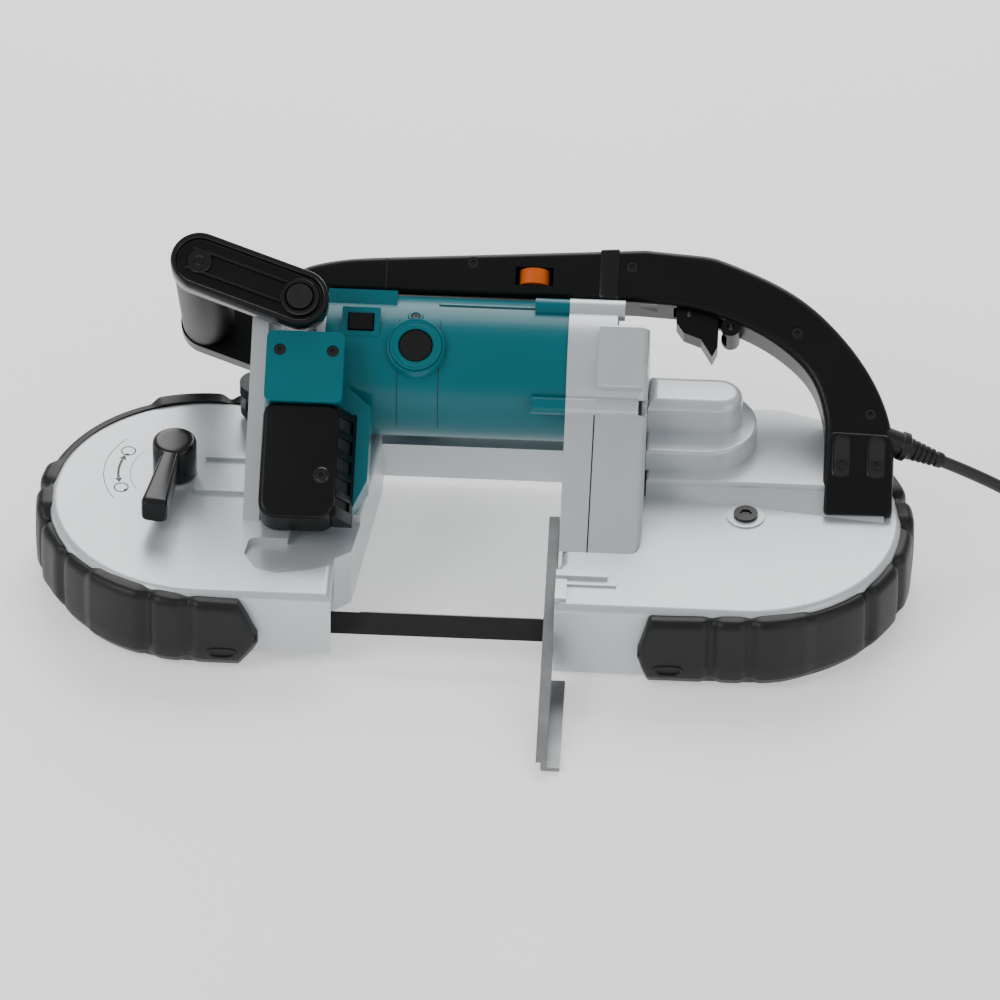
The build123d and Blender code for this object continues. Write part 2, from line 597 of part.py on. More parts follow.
def rear_cover():
    """Teal casing over the electronics: full height behind, and the front's upper part."""
    outline = [(BOX_X0, BOX_SILL_UP), (-70, BOX_SILL_UP), (-62, 34), (-62, 78), (-76, 90), (-76, BOX_UP1),
               (BOX_X0, BOX_UP1)]
    back = prism(front_plane(MOTOR_FWD + 4), outline, 66 - MOTOR_FWD - 4)
    top = tilted_block(BOX_X0, BOX_X1, BOX_SPLIT_UP, BOX_UP1, 60, BOX_FWD)
    top = rounded(top, top.edges().filter_by(Axis(origin=(0, 0, 0), direction=FWD)), 4.0)
    cover = back + top
    cover &= block(-300, 300, -300, 300, DECK_Z + 0.4, 400)
    inner = prism(front_plane(MOTOR_FWD + 4 - 1),
                  [(BOX_X0 + 3, 0), (-76, 0), (-66, 34), (-66, 76), (-80, 88), (-80, BOX_UP1 - 3),
                   (BOX_X0 + 3, BOX_UP1 - 3)], 27)
    inner &= block(-300, 300, -300, 300, DECK_Z + 3.4, 400)
    cover -= inner
    cover -= bar_x(MOTOR_X0 - 40, MOTOR_X1, MOTOR_UP, MOTOR_FWD, MOTOR_RADIUS)
    for recess in screw_recesses():
        cover -= recess
    return cover


def vent_cover():
    """Black lower box with slots in its side, and a sill that closes the casing's bottom."""
    outline = [(BOX_X0, BOX_UP0), (BOX_X1 + 2, BOX_UP0), (BOX_X1 + 2, BOX_SPLIT_UP - 0.3),
               (BOX_X0, BOX_SPLIT_UP - 0.3)]
    box = prism(front_plane(66.2), outline, BOX_FWD - 0.5 - 66.2)
    box = rounded(box, box.faces().sort_by(Axis((0, 0, 0), FWD))[-1].edges(), 4.0)
    inner = [(BOX_X0 + 3, BOX_UP0 + 3), (BOX_X1 - 1, BOX_UP0 + 3), (BOX_X1 - 1, BOX_SPLIT_UP - 3.3),
             (BOX_X0 + 3, BOX_SPLIT_UP - 3.3)]
    box -= prism(front_plane(66.0), inner, BOX_FWD - 4 - 66.0)
    sill_back = (DECK_Z + 0.4 - BOX_UP0 * sin(radians(TILT))) / cos(radians(TILT))
    box += tilted_block(BOX_X0, BOX_X1 + 2, BOX_UP0, BOX_SILL_UP - 0.3, sill_back, 66.2) & above_deck()
    for i in range(5):
        up = 14 + 11.5 * i
        box -= tilted_block(BOX_X1 - 3, BOX_X1 + 6, up, up + 7, 70, 80)
    for recess in screw_recesses():
        box -= recess
    return box


# ---------------------------------------------------------------- handle
def handle_outline():
    """Side view of the closed main handle: the bar over the motor and the bow down to the deck."""
    p = HANDLE_POINTS
    edges = [
        Line(p[0], p[1]),
        Spline(*p[1:8], tangents=[(0, 1), (-1, 0.07)]),
        Line(p[7], p[8]),
        Spline(*p[8:11], tangents=[(-1, -0.07), (-0.3, -1)]),
        Line(p[10], p[11]),
        Line(p[11], p[12]),
        Line(p[12], p[13]),
        Spline(*p[13:20], tangents=[(1, -0.05), (0, -1)]),
        Line(p[19], p[20]),
        Line(p[20], p[0]),
    ]
    return make_face(Wire(edges))


def handle_halves():
    """Front and rear shell of the main handle, parted down the middle."""
    middle = (HANDLE_FWD0 + HANDLE_FWD1) / 2
    plan = handle_outline()
    whole = extrude(front_plane(HANDLE_FWD0) * plan, amount=HANDLE_FWD1 - HANDLE_FWD0)
    faces = whole.faces().sort_by(Axis((0, 0, 0), FWD))
    whole = fillet(list(faces[0].edges()) + list(faces[-1].edges()), 4.0)
    depth = HANDLE_FWD1 - HANDLE_FWD0 - 2 * HANDLE_WALL
    whole -= prism(front_plane(HANDLE_FWD0 + HANDLE_WALL), HANDLE_CORE, depth)
    whole &= block(-300, 300, -300, 300, RAISED_Z, 400)
    whole -= bar_x(-125, 100, MOTOR_UP, MOTOR_FWD, GEARBOX_RADIUS)
    whole -= trigger_space()
    whole -= dial_space()
    whole += bar_fwd(*LANYARD_HOLE, HANDLE_FWD0 + 3, HANDLE_FWD1 - 3, 5.5) - trigger_space()
    whole -= bar_fwd(*LANYARD_HOLE, 0, 60, 2.0)
    for x, up in HANDLE_SCREWS:
        whole -= bar_fwd(x, up, HANDLE_FWD1 - 2.4, HANDLE_FWD1 + 1, 3.6)
    front = whole & tilted_block(-300, 300, -300, 300, middle, 200)
    rear = whole & tilted_block(-300, 300, -300, 300, -200, middle)
    return front, rear


def dial_space():
    """Window in the handle's front wall for the thumb dial."""
    return tilted_block(17, 39, 163.5, 174.5, HANDLE_FWD1 - 18, HANDLE_FWD1 + 5)


def trigger_space():
    """Mouth in the handle that the trigger moves up into."""
    outline = [(109.5, 120), (141.0, 120), (141.0, 160), (109.5, 160)]
    return prism(front_plane(TRIGGER_FWD0 - 0.5), outline, TRIGGER_FWD1 - TRIGGER_FWD0 + 1)


def trigger():
    """Finger lever with a hollow for the finger and a pointed lower end."""
    outline = [(111, 157), (111.5, 146.5), (116, 140.5), (126, 137), (133, 126.5), (136, 133), (136, 157)]
    lever = prism(front_plane(TRIGGER_FWD0), outline, TRIGGER_FWD1 - TRIGGER_FWD0)
    return lever - bar_fwd(TRIGGER_X, TRIGGER_PIVOT_UP, TRIGGER_FWD0 - 1, TRIGGER_FWD1 + 1, 1.6)


def switch_module():
    """Switch box inside the front handle shell, above the trigger."""
    return tilted_block(155, 172, 148, 160, HANDLE_FWD0 + 6, HANDLE_FWD1 - 6)


def speed_dial():
    """Thumb wheel that shows through the handle's front wall."""
    return rod(Plane(origin=tilted(28, 164.5, HANDLE_FWD1 - 7), x_dir=(1, 0, 0), z_dir=UP), 9.0, 9.0)


def bail_arm(fwd0, fwd1):
    """Round-ended arm of the front handle."""
    lean = degrees(atan2(BAIL_TIP_UP - PIVOT_UP, BAIL_TIP_X - PIVOT_X))
    length = hypot(BAIL_TIP_UP - PIVOT_UP, BAIL_TIP_X - PIVOT_X)
    plate = Pos(length / 2, 0) * SlotCenterToCenter(length, 2 * BAIL_RADIUS)
    arm = extrude(front_plane(fwd0, PIVOT_X, PIVOT_UP) * Rot(0, 0, lean) * plate, amount=fwd1 - fwd0)
    return arm - bar_fwd(PIVOT_X, PIVOT_UP, fwd0 - 1, fwd1 + 1, 5.05)


def front_handle():
    """Swinging bail: two arms on one cross rod."""
    arms = [bail_arm(*NEAR_ARM), bail_arm(*FAR_ARM)]
    return arms[0] + arms[1] + bar_fwd(BAIL_TIP_X, BAIL_TIP_UP, FAR_ARM[0] + 2, NEAR_ARM[1] - 2, 9.0)


def pivot_bolt():
    """Long bolt through the post's tube and both arms, with a head and a nut."""
    bolt = bar_fwd(PIVOT_X, PIVOT_UP, FAR_ARM[0] - 6, NEAR_ARM[1] + 3, 5.0 - 0.02)
    bolt += bar_fwd(PIVOT_X, PIVOT_UP, NEAR_ARM[1] + 0.3, NEAR_ARM[1] + 4, 7.5)
    return bolt + bar_fwd(PIVOT_X, PIVOT_UP, FAR_ARM[0] - 7, FAR_ARM[0] - 0.3, 8.0)


def front_grip():
    """Rubber tube over the bail's cross rod."""
    return tube_between(front_plane(FAR_ARM[1] + 0.5, BAIL_TIP_X, BAIL_TIP_UP), 15.5, 9.0,
                        NEAR_ARM[0] - FAR_ARM[1] - 1.0)


def tension_lever():
    """Hub and arm above the deck, on a shaft whose lower end is an eccentric cam."""
    hub = upright(LEVER_X, LEVER_Y, DECK_Z + 2.4, 12.8, 24)
    arm = prism(Plane(origin=(0, 0, DECK_Z + 7)), [(-6.5, 0), (6.5, 0), (7.5, 57), (-7.5, 57)], 19)
    arm = Pos(LEVER_X, LEVER_Y, 0) * Rot(0, 0, 172) * arm
    lever = hub + arm
    lever = rounded(lever, lever.faces().sort_by(Axis.Z)[-1].edges(), 2.5)
    lever += upright(LEVER_X, LEVER_Y, 41.0, 5.0, DECK_Z - 38)
    return lever + upright(LEVER_X - CAM_OFFSET, LEVER_Y, 36.3, 9.0, 5.5)


def tension_carriage():
    """Sliding plate under the deck that carries the idler axle."""
    plate = block(-205, -118, -26.5, 34.5, 36, 42.5)
    plate -= block(LEVER_X - 13, LEVER_X + 13, LEVER_Y - 13, LEVER_Y + 13, 30, 50)
    return plate - upright(-WHEEL_X, 0, 30, 5.0, 20)


def idler_axle():
    """Axle pressed in the tension carriage."""
    return upright(-WHEEL_X, 0, 10.5, 5.0, 31.0) - upright(-WHEEL_X, 0, 10.4, 2.0, 4.0)


def drive_axle():
    """Axle that hangs from the drive deck, with a retaining head under the wheel."""
    axle = upright(WHEEL_X, 0, 9.0, 5.0, DECK_Z - WALL - 9.0)
    return axle + upright(WHEEL_X, 0, 8.0, 8.0, 4.6)


def tension_spring():
    """Compression spring that pushes the carriage away from the drive wheel's side."""
    turns = 7
    pitch = 21.0 / turns
    path = Helix(pitch=pitch, height=21.0, radius=5.0)
    start = Plane(origin=path @ 0, z_dir=path % 0)
    coil = sweep(start * Circle(0.8), path=path)
    return Plane(origin=(-227.2, -4, 39.2), z_dir=(1, 0, 0)).location * coil


def tracking_knob():
    """Spool-shaped knob on the back of the idler deck."""
    knob = upright(-131, 76, DECK_Z + 0.6, 7.5, 4)
    for z, r, h in ((54.6, 10, 5), (59.6, 7, 9), (68.6, 10.5, 7)):
        knob += upright(-131, 76, z, r, h)
    return knob


# ---------------------------------------------------------------- blade and guides
def blade_direction(angle):
    """Width and thickness directions of the blade after a twist about X, from upright."""
    a = radians(angle)
    return Vector(0, sin(a), cos(a)), Vector(0, -cos(a), sin(a))


def blade_section(x, y, angle):
    """Thin rectangle across the blade at one station along X."""
    width, thick = blade_direction(angle)
    plane = Plane(origin=(x, y, BLADE_Z), x_dir=width, z_dir=(1, 0, 0))
    return plane * Rectangle(BLADE_WIDTH, BLADE_THICKNESS)


def saw_blade():
    """Endless band: two wraps, the straight return run, and the front run twisted by the guides."""
    half = BLADE_THICKNESS / 2
    z0 = BLADE_Z - BLADE_WIDTH / 2
    start = WHEEL_X - 16.0
    ring = Circle(LOOP_RADIUS + half) - Circle(LOOP_RADIUS - half)
    band = Sketch()
    for side in (-1, 1):
        cut = Pos(side * (WHEEL_X + 100), 0) * Rectangle(200, 400)
        band += (Pos(side * WHEEL_X, 0) * ring) & cut
    band += Pos(0, LOOP_RADIUS) * Rectangle(2 * WHEEL_X, BLADE_THICKNESS)
    for side in (-1, 1):
        band += Pos(side * (WHEEL_X + start) / 2, -LOOP_RADIUS) * Rectangle(WHEEL_X - start, BLADE_THICKNESS)
    blade = extrude(Pos(0, 0, z0) * band, amount=BLADE_WIDTH)
    stations = 8
    for side in (-1, 1):
        sections = []
        for i in range(stations + 1):
            share = i / stations
            x = side * (start - TWIST_LENGTH * share)
            y = -LOOP_RADIUS + (CUT_Y + LOOP_RADIUS) * share
            sections.append(blade_section(x, y, TWIST * share))
        blade += loft(sections, ruled=True)
    inner = start - TWIST_LENGTH
    blade += extrude(blade_section(-inner, CUT_Y, TWIST), amount=2 * inner)
    return blade


def guide_centre():
    """Blade's centre at the guides, in the tilted section."""
    y, z = CUT_Y, BLADE_Z
    return y * cos(radians(TILT)) + z * sin(radians(TILT)), -y * sin(radians(TILT)) + z * cos(radians(TILT))


def guide_cavity(x0):
    """Room inside the nose that a guide block fills."""
    return block(x0, x0 + GUIDE_LENGTH, -HOUSING_RADIUS + WALL, -59.2, IDLER_RIM_Z + 0.5, DECK_Z - WALL)


def guide_parts(x0):
    """One guide: a slotted block with a roller against each face of the blade."""
    up, fwd = guide_centre()
    middle = x0 + GUIDE_LENGTH / 2
    body = tilted_block(x0, x0 + GUIDE_LENGTH, up - 9, up + 17, fwd - 11, fwd + 11)
    body -= tilted_block(x0 - 1, x0 + GUIDE_LENGTH + 1, up - 30, up + 7.5, fwd - 1.6, fwd + 1.6)
    reach = ROLLER_RADIUS + BLADE_THICKNESS / 2 + 0.3
    rollers = []
    for side in (-1, 1):
        plane = Plane(origin=tilted(middle, up - 4, fwd + side * reach), x_dir=(1, 0, 0), z_dir=UP)
        body -= rod(plane.offset(-0.4), ROLLER_RADIUS + 0.6, 8.8)
        body += rod(plane.offset(-2), ROLLER_PIN, 12)
        rollers.append(tube_between(plane, ROLLER_RADIUS, ROLLER_PIN + 0.05, 8.0))
    return body & guide_cavity(x0), rollers


def stop_plate():
    """Workpiece stop: a long web beside the throat wall, with a serrated lip and a foot flange."""
    top = [(-176.0, 8.0), (-12.0, 54.0)]
    slope = atan2(top[1][1] - top[0][1], top[1][0] - top[0][0])
    drop = 18.0
    low_end = (top[1][0] + drop * sin(slope), top[1][1] - drop * cos(slope))
    outline = [top[0], top[1], low_end, (-150.0, 0.6), (-176.0, 0.6)]
    web = prism(section_plane(46.2), outline, 3.3)
    normal = (-sin(slope), cos(slope))
    lip = [top[0], top[1], (top[1][0] - 2.0 * normal[0], top[1][1] - 2.0 * normal[1]),
           (top[0][0] - 2.0 * normal[0], top[0][1] - 2.0 * normal[1])]
    plate = web + prism(section_plane(43.4), lip, 4.0)
    foot = [(-176.0, 0.6), (-98.5, 0.6), (-98.5, 3.2), (-176.0, 3.2)]
    plate += prism(section_plane(48.0), foot, 9.0)
    plate -= block(40, 60, -88, -66, 0, 31.5)
    return plate


def stop_bolts():
    """Two hexagon-head bolts that hold the stop against the nose."""
    bolts = []
    for y, z in ((-55.5, 35.7), (-55.5, 27.5)):
        plane = section_plane(44.0)
        bolts.append(extrude(plane * Pos(y, z) * RegularPolygon(3.9, 6), amount=2.2))
    return bolts


# ---------------------------------------------------------------- rubber
def bumper_arc(cx, a0, a1, r1, z1, r0=HOUSING_RADIUS, z0=0.0):
    """Part of a ring round one wheel centre, between two angles in degrees."""
    inner = [(cx + r0 * cos(radians(a)), r0 * sin(radians(a))) for a in (a0, (a0 + a1) / 2, a1)]
    outer = [(cx + r1 * cos(radians(a)), r1 * sin(radians(a))) for a in (a0, (a0 + a1) / 2, a1)]
    edges = [ThreePointArc(*inner), Line(inner[2], outer[2]), ThreePointArc(outer[2], outer[1], outer[0]),
             Line(outer[0], inner[0])]
    return extrude(Pos(0, 0, z0) * make_face(Wire(edges)), amount=z1 - z0)


def bumper_straight(x0, x1, side, z1, r1=BUMPER_RADIUS, taper=0.0):
    """Straight stretch beside a casting's flat wall, with an optional bevelled inner end."""
    r0 = HOUSING_RADIUS
    outline = [(x0, side * r0), (x1, side * r0), (x1 - taper, side * r1), (x0, side * r1)]
    return extrude(make_face(Polyline(*outline, close=True)), amount=z1)


def bumpers():
    """Rubber guards round both castings."""
    front_left = bumper_arc(-WHEEL_X, 228, 270, BUMPER_RADIUS, BUMPER_Z)
    front_left += bumper_straight(-WHEEL_X, -119, -1, BUMPER_Z, taper=6)
    for a in (238, 252):
        front_left -= bumper_arc(-WHEEL_X, a, a + 5, BUMPER_RADIUS + 1, 44, BUMPER_RADIUS - 2.5, 8)
    front_left -= block(-150, -134, -99, -BUMPER_RADIUS + 3, 10, 17)
    front_left += bumper_arc(-WHEEL_X, 194, 228, BUMPER_RADIUS - 1.5, 38)
    rear_left = bumper_arc(-WHEEL_X, 163, 194, BUMPER_RADIUS, 43)
    rear_left += bumper_arc(-WHEEL_X, 112, 163, STRAP_RADIUS, STRAP_Z)
    rear_left += bumper_arc(-WHEEL_X, 90, 112, BUMPER_RADIUS, BUMPER_Z)
    rear_left += bumper_straight(-WHEEL_X, -62, 1, BUMPER_Z, taper=3)
    front_right = bumper_arc(WHEEL_X, 270, 293, BUMPER_RADIUS, BUMPER_Z)
    front_right += bumper_straight(WHEEL_X, 97, -1, BUMPER_Z, taper=-6)
    for a in (276, 287):
        front_right -= bumper_arc(WHEEL_X, a, a + 4, BUMPER_RADIUS + 1, 44, BUMPER_RADIUS - 2.5, 8)
    front_right -= block(114, 130, -99, -BUMPER_RADIUS + 3, 10, 17)
    front_right += bumper_arc(WHEEL_X, 293, 360, BUMPER_RADIUS - 1.5, 42)
    rear_right = bumper_arc(WHEEL_X, 0, 34, BUMPER_RADIUS, BUMPER_Z)
    rear_right += bumper_arc(WHEEL_X, 34, 62, STRAP_RADIUS, STRAP_Z)
    rear_right += bumper_arc(WHEEL_X, 62, 90, BUMPER_RADIUS, BUMPER_Z)
    rear_right += bumper_straight(WHEEL_X, 60, 1, BUMPER_Z, taper=-3)
    return front_left, rear_left, front_right, rear_right


# ---------------------------------------------------------------- fasteners
def socket_head(plane, radius, height, socket):
    """Cap screw head with a hexagon socket."""
    head = rod(plane, radius, height)
    return head - extrude(plane.offset(height) * RegularPolygon(socket, 6), amount=-height * 0.6)


def housing_screws():
    """Socket screws in the bolt bosses, and the wheel axle's bolt in the deck."""
    screws = [socket_head(side_plane(*place), 4.6, 5.0, 2.4) for place in screw_places()]
    screws.append(socket_head(Plane(origin=(WHEEL_X, 0, DECK_Z + 1)), 7.0, 1.8, 3.6))
    return screws


def handle_screws():
    """Screws that hold the two handle shells together."""
    return [socket_head(front_plane(HANDLE_FWD1 - 2.4, x, up), 3.4, 2.0, 1.7) for x, up in HANDLE_SCREWS]


def cover_screws():
    """Recessed screws of the teal and black covers."""
    return [socket_head(front_plane(fwd - 2.4, x, up), 3.2, 1.8, 1.6) for x, up, fwd in COVER_SCREWS]


def screw_recesses():
    """Round recesses that the cover screws sit in."""
    return [bar_fwd(x, up, fwd - 2.4, fwd + 2, 3.5) for x, up, fwd in COVER_SCREWS]


# ---------------------------------------------------------------- cord
def route_radii(points):
    """Largest arc at each corner that uses 0.45 of the shorter run."""
    radii = []
    for a, b, c in zip(points, points[1:], points[2:]):
        before, after = Vector(*b) - Vector(*a), Vector(*c) - Vector(*b)
        turn = radians(before.get_angle(after))
        radii.append(0.45 * min(before.length, after.length) / tan(turn / 2))
    return radii


def power_cord():
    """Free stretch of the cord, from the handle's foot down to the coil."""
    radii = route_radii(CORD_ROUTE)
    path = FilletPolyline(*CORD_ROUTE, radius=radii)
    start = Plane(origin=CORD_ROUTE[0], z_dir=Vector(*CORD_ROUTE[1]) - Vector(*CORD_ROUTE[0]))
    cord = sweep(start * Circle(CORD_DIAMETER / 2), path=path)
    section = pi * CORD_DIAMETER**2 / 4
    print("cord radii", [round(r, 1) for r in radii], "length", round(path.length, 1),
          "volume ratio", round(cord.volume / (section * path.length), 4))
    return cord


def cord_guard():
    """Ribbed strain relief at the handle's foot, tapering along the cord."""
    start, after = Vector(*CORD_ROUTE[0]), Vector(*CORD_ROUTE[1])
    along = (after - start).normalized()
    plane = Plane(origin=start - along * 24, z_dir=along)
    guard = loft([plane * Circle(7.5), plane.offset(24) * Circle(4.6)])
    for i in range(3):
        guard += rod(plane.offset(9 + 5 * i), 7.2 - 0.8 * i, 2.2)
    return guard & block(HANDLE_END_X, 400, -100, 200, 0, 200)


def cord_coil():
    """Outer shape of the wound cord: a flat ring lying on the floor."""
    plane = Plane(origin=(*COIL_CENTRE, 0.05))
    return tube_between(plane, COIL_RADIUS + 10.9, COIL_RADIUS - 10.9, 3 * CORD_DIAMETER)


def power_plug():
    """Two-pin plug lying beside the coil."""
    x, y = COIL_CENTRE[0] + COIL_RADIUS + 2 * CORD_DIAMETER, COIL_CENTRE[1] - 62
    body = Pos(x, y, 13) * Box(26, 38, 25.6)
    body = rounded(body, body.edges(), 5.0)
    for dx in (-9.5, 9.5):
        body += rod(Plane(origin=(x + dx, y - 18, 13), z_dir=(0, -1, 0)), 2.4, 20)
    return body


def main():
    """Builds every node and writes its STEP file."""
    keep("idler_housing", idler_housing())
    keep("drive_housing", drive_housing())
    keep("frame_beam", frame_beam())
    keep("frame_post", frame_post())
    keep("gear_housing", gear_housing())
    keep("gear_cover", gear_cover())
    keep("spindle_dome", spindle_dome())
    keep("motor_housing", motor_housing())
    stator, armature, fan, bearings, brushes = motor_insides()
    keep("stator", stator)
    keep("armature", armature)
    keep("cooling_fan", fan)
    keep("motor_bearings", *bearings)
    keep("carbon_brushes", *brushes)
    keep("brush_caps", *brush_caps())
    keep("lamp_switch", lamp_switch())
    keep("rear_cover", rear_cover())
    keep("vent_cover", vent_cover())
    front, rear = handle_halves()
    keep("handle_half_front", front)
    keep("handle_half_rear", rear)
    keep("trigger", trigger())
    keep("switch_module", switch_module())
    keep("speed_dial", speed_dial())
    keep("pivot_bolt", pivot_bolt())
    keep("front_handle", front_handle())
    keep("front_handle_grip", front_grip())
    keep("tension_lever", tension_lever())
    keep("tension_carriage", tension_carriage())
    keep("tracking_knob", tracking_knob())
    keep("idler_axle", idler_axle())
    keep("drive_axle", drive_axle())
    keep("tension_spring", tension_spring())
    for name, x in (("idler", -WHEEL_X), ("drive", WHEEL_X)):
        keep(name + "_wheel", band_wheel(x))
        keep(name + "_tyre", tyre(x))
        keep(name + "_bearings", *wheel_bearings(x))
    keep("ring_gear", ring_gear())
    spindle, bevel = spindle_set()
    keep("spindle", spindle)
    keep("bevel_gear", bevel)
    layshaft, helical = layshaft_set()
    keep("layshaft", layshaft)
    keep("helical_gear", helical)
    keep("gear_bearings", *gear_bearings())
    blocks = []
    for side, x0 in zip(("left", "right"), GUIDE_X):
        guide, rollers = guide_parts(x0)
        blocks.append(guide)
        for place, roller in zip(("rear", "front"), rollers):
            keep(f"guide_roller_{side}_{place}", roller)
    keep("guide_blocks", *blocks)
    keep("saw_blade", saw_blade())
    for name, solid in zip(("bumper_front_left", "bumper_rear_left", "bumper_front_right", "bumper_rear_right"),
                           bumpers()):
        keep(name, solid)
    keep("stop_plate", stop_plate())
    keep("frame_screws", *housing_screws(), *stop_bolts())
    keep("shell_screws", *handle_screws(), *cover_screws())
    keep("cord_guard", cord_guard())
    keep("power_cord", power_cord())
    keep("cord_coil", cord_coil() - power_cord())
    keep("power_plug", power_plug())
    os.makedirs("parts", exist_ok=True)
    for name, shape in NODES.items():
        export_step(shape, f"parts/{name}.step")


main()
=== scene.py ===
import json
import logging
import math
from dataclasses import dataclass
from enum import Enum
from math import cos, pi, radians, sin
from typing import Sequence

import bmesh
import bpy
import numpy as np
from mathutils import Matrix, Vector


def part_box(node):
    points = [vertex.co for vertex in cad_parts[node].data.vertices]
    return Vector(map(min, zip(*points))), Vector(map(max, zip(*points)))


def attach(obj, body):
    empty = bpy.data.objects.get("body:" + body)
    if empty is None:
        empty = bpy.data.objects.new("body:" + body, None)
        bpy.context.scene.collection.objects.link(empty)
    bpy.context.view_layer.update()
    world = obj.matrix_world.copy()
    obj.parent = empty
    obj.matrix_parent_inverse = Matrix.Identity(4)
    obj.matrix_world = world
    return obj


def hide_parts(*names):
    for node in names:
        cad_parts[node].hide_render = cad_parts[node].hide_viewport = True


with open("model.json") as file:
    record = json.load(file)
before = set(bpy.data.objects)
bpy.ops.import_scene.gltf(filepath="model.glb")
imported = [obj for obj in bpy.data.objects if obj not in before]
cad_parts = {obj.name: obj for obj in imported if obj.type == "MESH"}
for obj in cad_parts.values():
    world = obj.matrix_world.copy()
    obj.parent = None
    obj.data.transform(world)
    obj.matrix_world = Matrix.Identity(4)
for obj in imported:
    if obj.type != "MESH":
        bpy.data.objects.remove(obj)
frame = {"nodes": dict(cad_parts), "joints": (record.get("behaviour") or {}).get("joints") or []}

# Looks of the portable band saw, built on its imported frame. Metres, in the frame's own directions:
# +X from the idler wheel to the drive wheel, +Z up, -Y to the operator's front.

log = logging.getLogger("band_saw")
Point = tuple[float, float, float]
Array = np.ndarray
MM = 0.001
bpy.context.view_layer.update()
JOINTS = {joint["name"]: joint for joint in frame["joints"]}


# ---------------------------------------------------------------- directions
@dataclass(frozen=True)
class Axes:
    """A set of three square directions with an origin; sizes put through it are in millimetres."""

    origin: Array
    x: Array
    y: Array
    z: Array

    def put(self, points: Array) -> Array:
        """Turns local millimetres into the frame's metres.

        Args:
            points: An array whose last axis holds x, y and z in millimetres.

        Returns:
            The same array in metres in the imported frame.
        """
        return self.origin + MM * (points @ np.stack([self.x, self.y, self.z]))

    def at(self, x: float, y: float, z: float) -> "Axes":
        """The same directions with the origin moved to a local point in millimetres."""
        return Axes(self.put(np.array([x, y, z], float)), self.x, self.y, self.z)

    def facing_away(self) -> "Axes":
        """The same origin with z turned round."""
        return Axes(self.origin, self.y, self.x, -self.z)


def joint_axis(name: str) -> Array:
    """Direction of a joint as an array."""
    return np.array(JOINTS[name]["axis"], float)


WHEEL_LINE_Y = JOINTS["drive_spin"]["pos_m"][1]
FLAT = Axes(np.array([0.0, WHEEL_LINE_Y, 0.0]), np.eye(3)[0], np.eye(3)[1], np.eye(3)[2])
TILTED = Axes(FLAT.origin, np.eye(3)[0], joint_axis("speed_dial_turn"), joint_axis("trigger_pull"))
TILT = math.asin(TILTED.y[2])


def tilted_place(name: str) -> tuple[float, float]:
    """A joint's place in the tilted motor unit, as UP and FWD in millimetres."""
    place = (np.array(JOINTS[name]["pos_m"]) - TILTED.origin) / MM
    return float(place @ TILTED.y), float(place @ TILTED.z)


MOTOR_UP, MOTOR_FWD = tilted_place("motor_spin")
MOTOR_RADIUS = 40.5
BRUSH_X, BRUSH_UP = -37.6, MOTOR_UP - 1.5
CUT_Y, BLADE_Z = -77.0, 1000 * JOINTS["drive_spin"]["pos_m"][2]


# ---------------------------------------------------------------- finishes
class Nodes:
    """Short way to wire a material's nodes."""

    def __init__(self, name: str) -> None:
        """Starts an empty material with one shader and its output.

        Args:
            name: The material's name.
        """
        self.material = bpy.data.materials.new(name)
        self.material.use_nodes = True
        self.tree = self.material.node_tree
        self.tree.nodes.clear()
        self.shader = self.add("ShaderNodeBsdfPrincipled")
        output = self.add("ShaderNodeOutputMaterial")
        self.link(self.shader.outputs[0], output.inputs[0])

    def add(self, kind: str, **settings: object) -> bpy.types.Node:
        """Adds a node of a kind and sets its named properties."""
        node = self.tree.nodes.new(kind)
        for key, value in settings.items():
            setattr(node, key, value)
        return node

    def link(self, source: bpy.types.NodeSocket, target: bpy.types.NodeSocket) -> None:
        """Joins two sockets."""
        self.tree.links.new(source, target)

    def place(self, stretch: Point = (1, 1, 1)) -> bpy.types.NodeSocket:
        """Object coordinates, stretched along each direction."""
        mapping = self.add("ShaderNodeMapping")
        mapping.inputs["Scale"].default_value = stretch
        self.link(self.add("ShaderNodeTexCoord").outputs["Object"], mapping.inputs["Vector"])
        return mapping.outputs["Vector"]

    def noise(self, scale: float, detail: float, stretch: Point = (1, 1, 1)) -> bpy.types.NodeSocket:
        """Cloudy noise between 0 and 1 on object coordinates."""
        node = self.add("ShaderNodeTexNoise")
        node.inputs["Scale"].default_value = scale
        node.inputs["Detail"].default_value = detail
        self.link(self.place(stretch), node.inputs["Vector"])
        return node.outputs["Fac"]

    def spread(self, source: bpy.types.NodeSocket, low: float, high: float) -> bpy.types.NodeSocket:
        """Maps a value's middle range (0.3 to 0.7) to a low and a high number."""
        node = self.add("ShaderNodeMapRange")
        node.inputs["From Min"].default_value = 0.3
        node.inputs["From Max"].default_value = 0.7
        node.inputs["To Min"].default_value = low
        node.inputs["To Max"].default_value = high
        self.link(source, node.inputs["Value"])
        return node.outputs["Result"]

    def shade(self, source: bpy.types.NodeSocket, dark: Point, light: Point) -> bpy.types.NodeSocket:
        """Blends two colours by a value."""
        node = self.add("ShaderNodeMix", data_type="RGBA")
        node.inputs["A"].default_value = (*dark, 1)
        node.inputs["B"].default_value = (*light, 1)
        self.link(source, node.inputs["Factor"])
        return node.outputs["Result"]

    def bump(self, height: bpy.types.NodeSocket, depth: float, strength: float = 1.0,
             under: bpy.types.NodeSocket | None = None) -> bpy.types.NodeSocket:
        """Relief from a height value.

        Args:
            height: The height between 0 and 1.
            depth: The depth in metres that 1 stands for.
            strength: How strongly the relief turns the normal.
            under: A coarser relief that this one lies on.

        Returns:
            The normal socket.
        """
        node = self.add("ShaderNodeBump")
        node.inputs["Strength"].default_value = strength
        node.inputs["Distance"].default_value = depth
        self.link(height, node.inputs["Height"])
        if under is not None:
            self.link(under, node.inputs["Normal"])
        return node.outputs["Normal"]


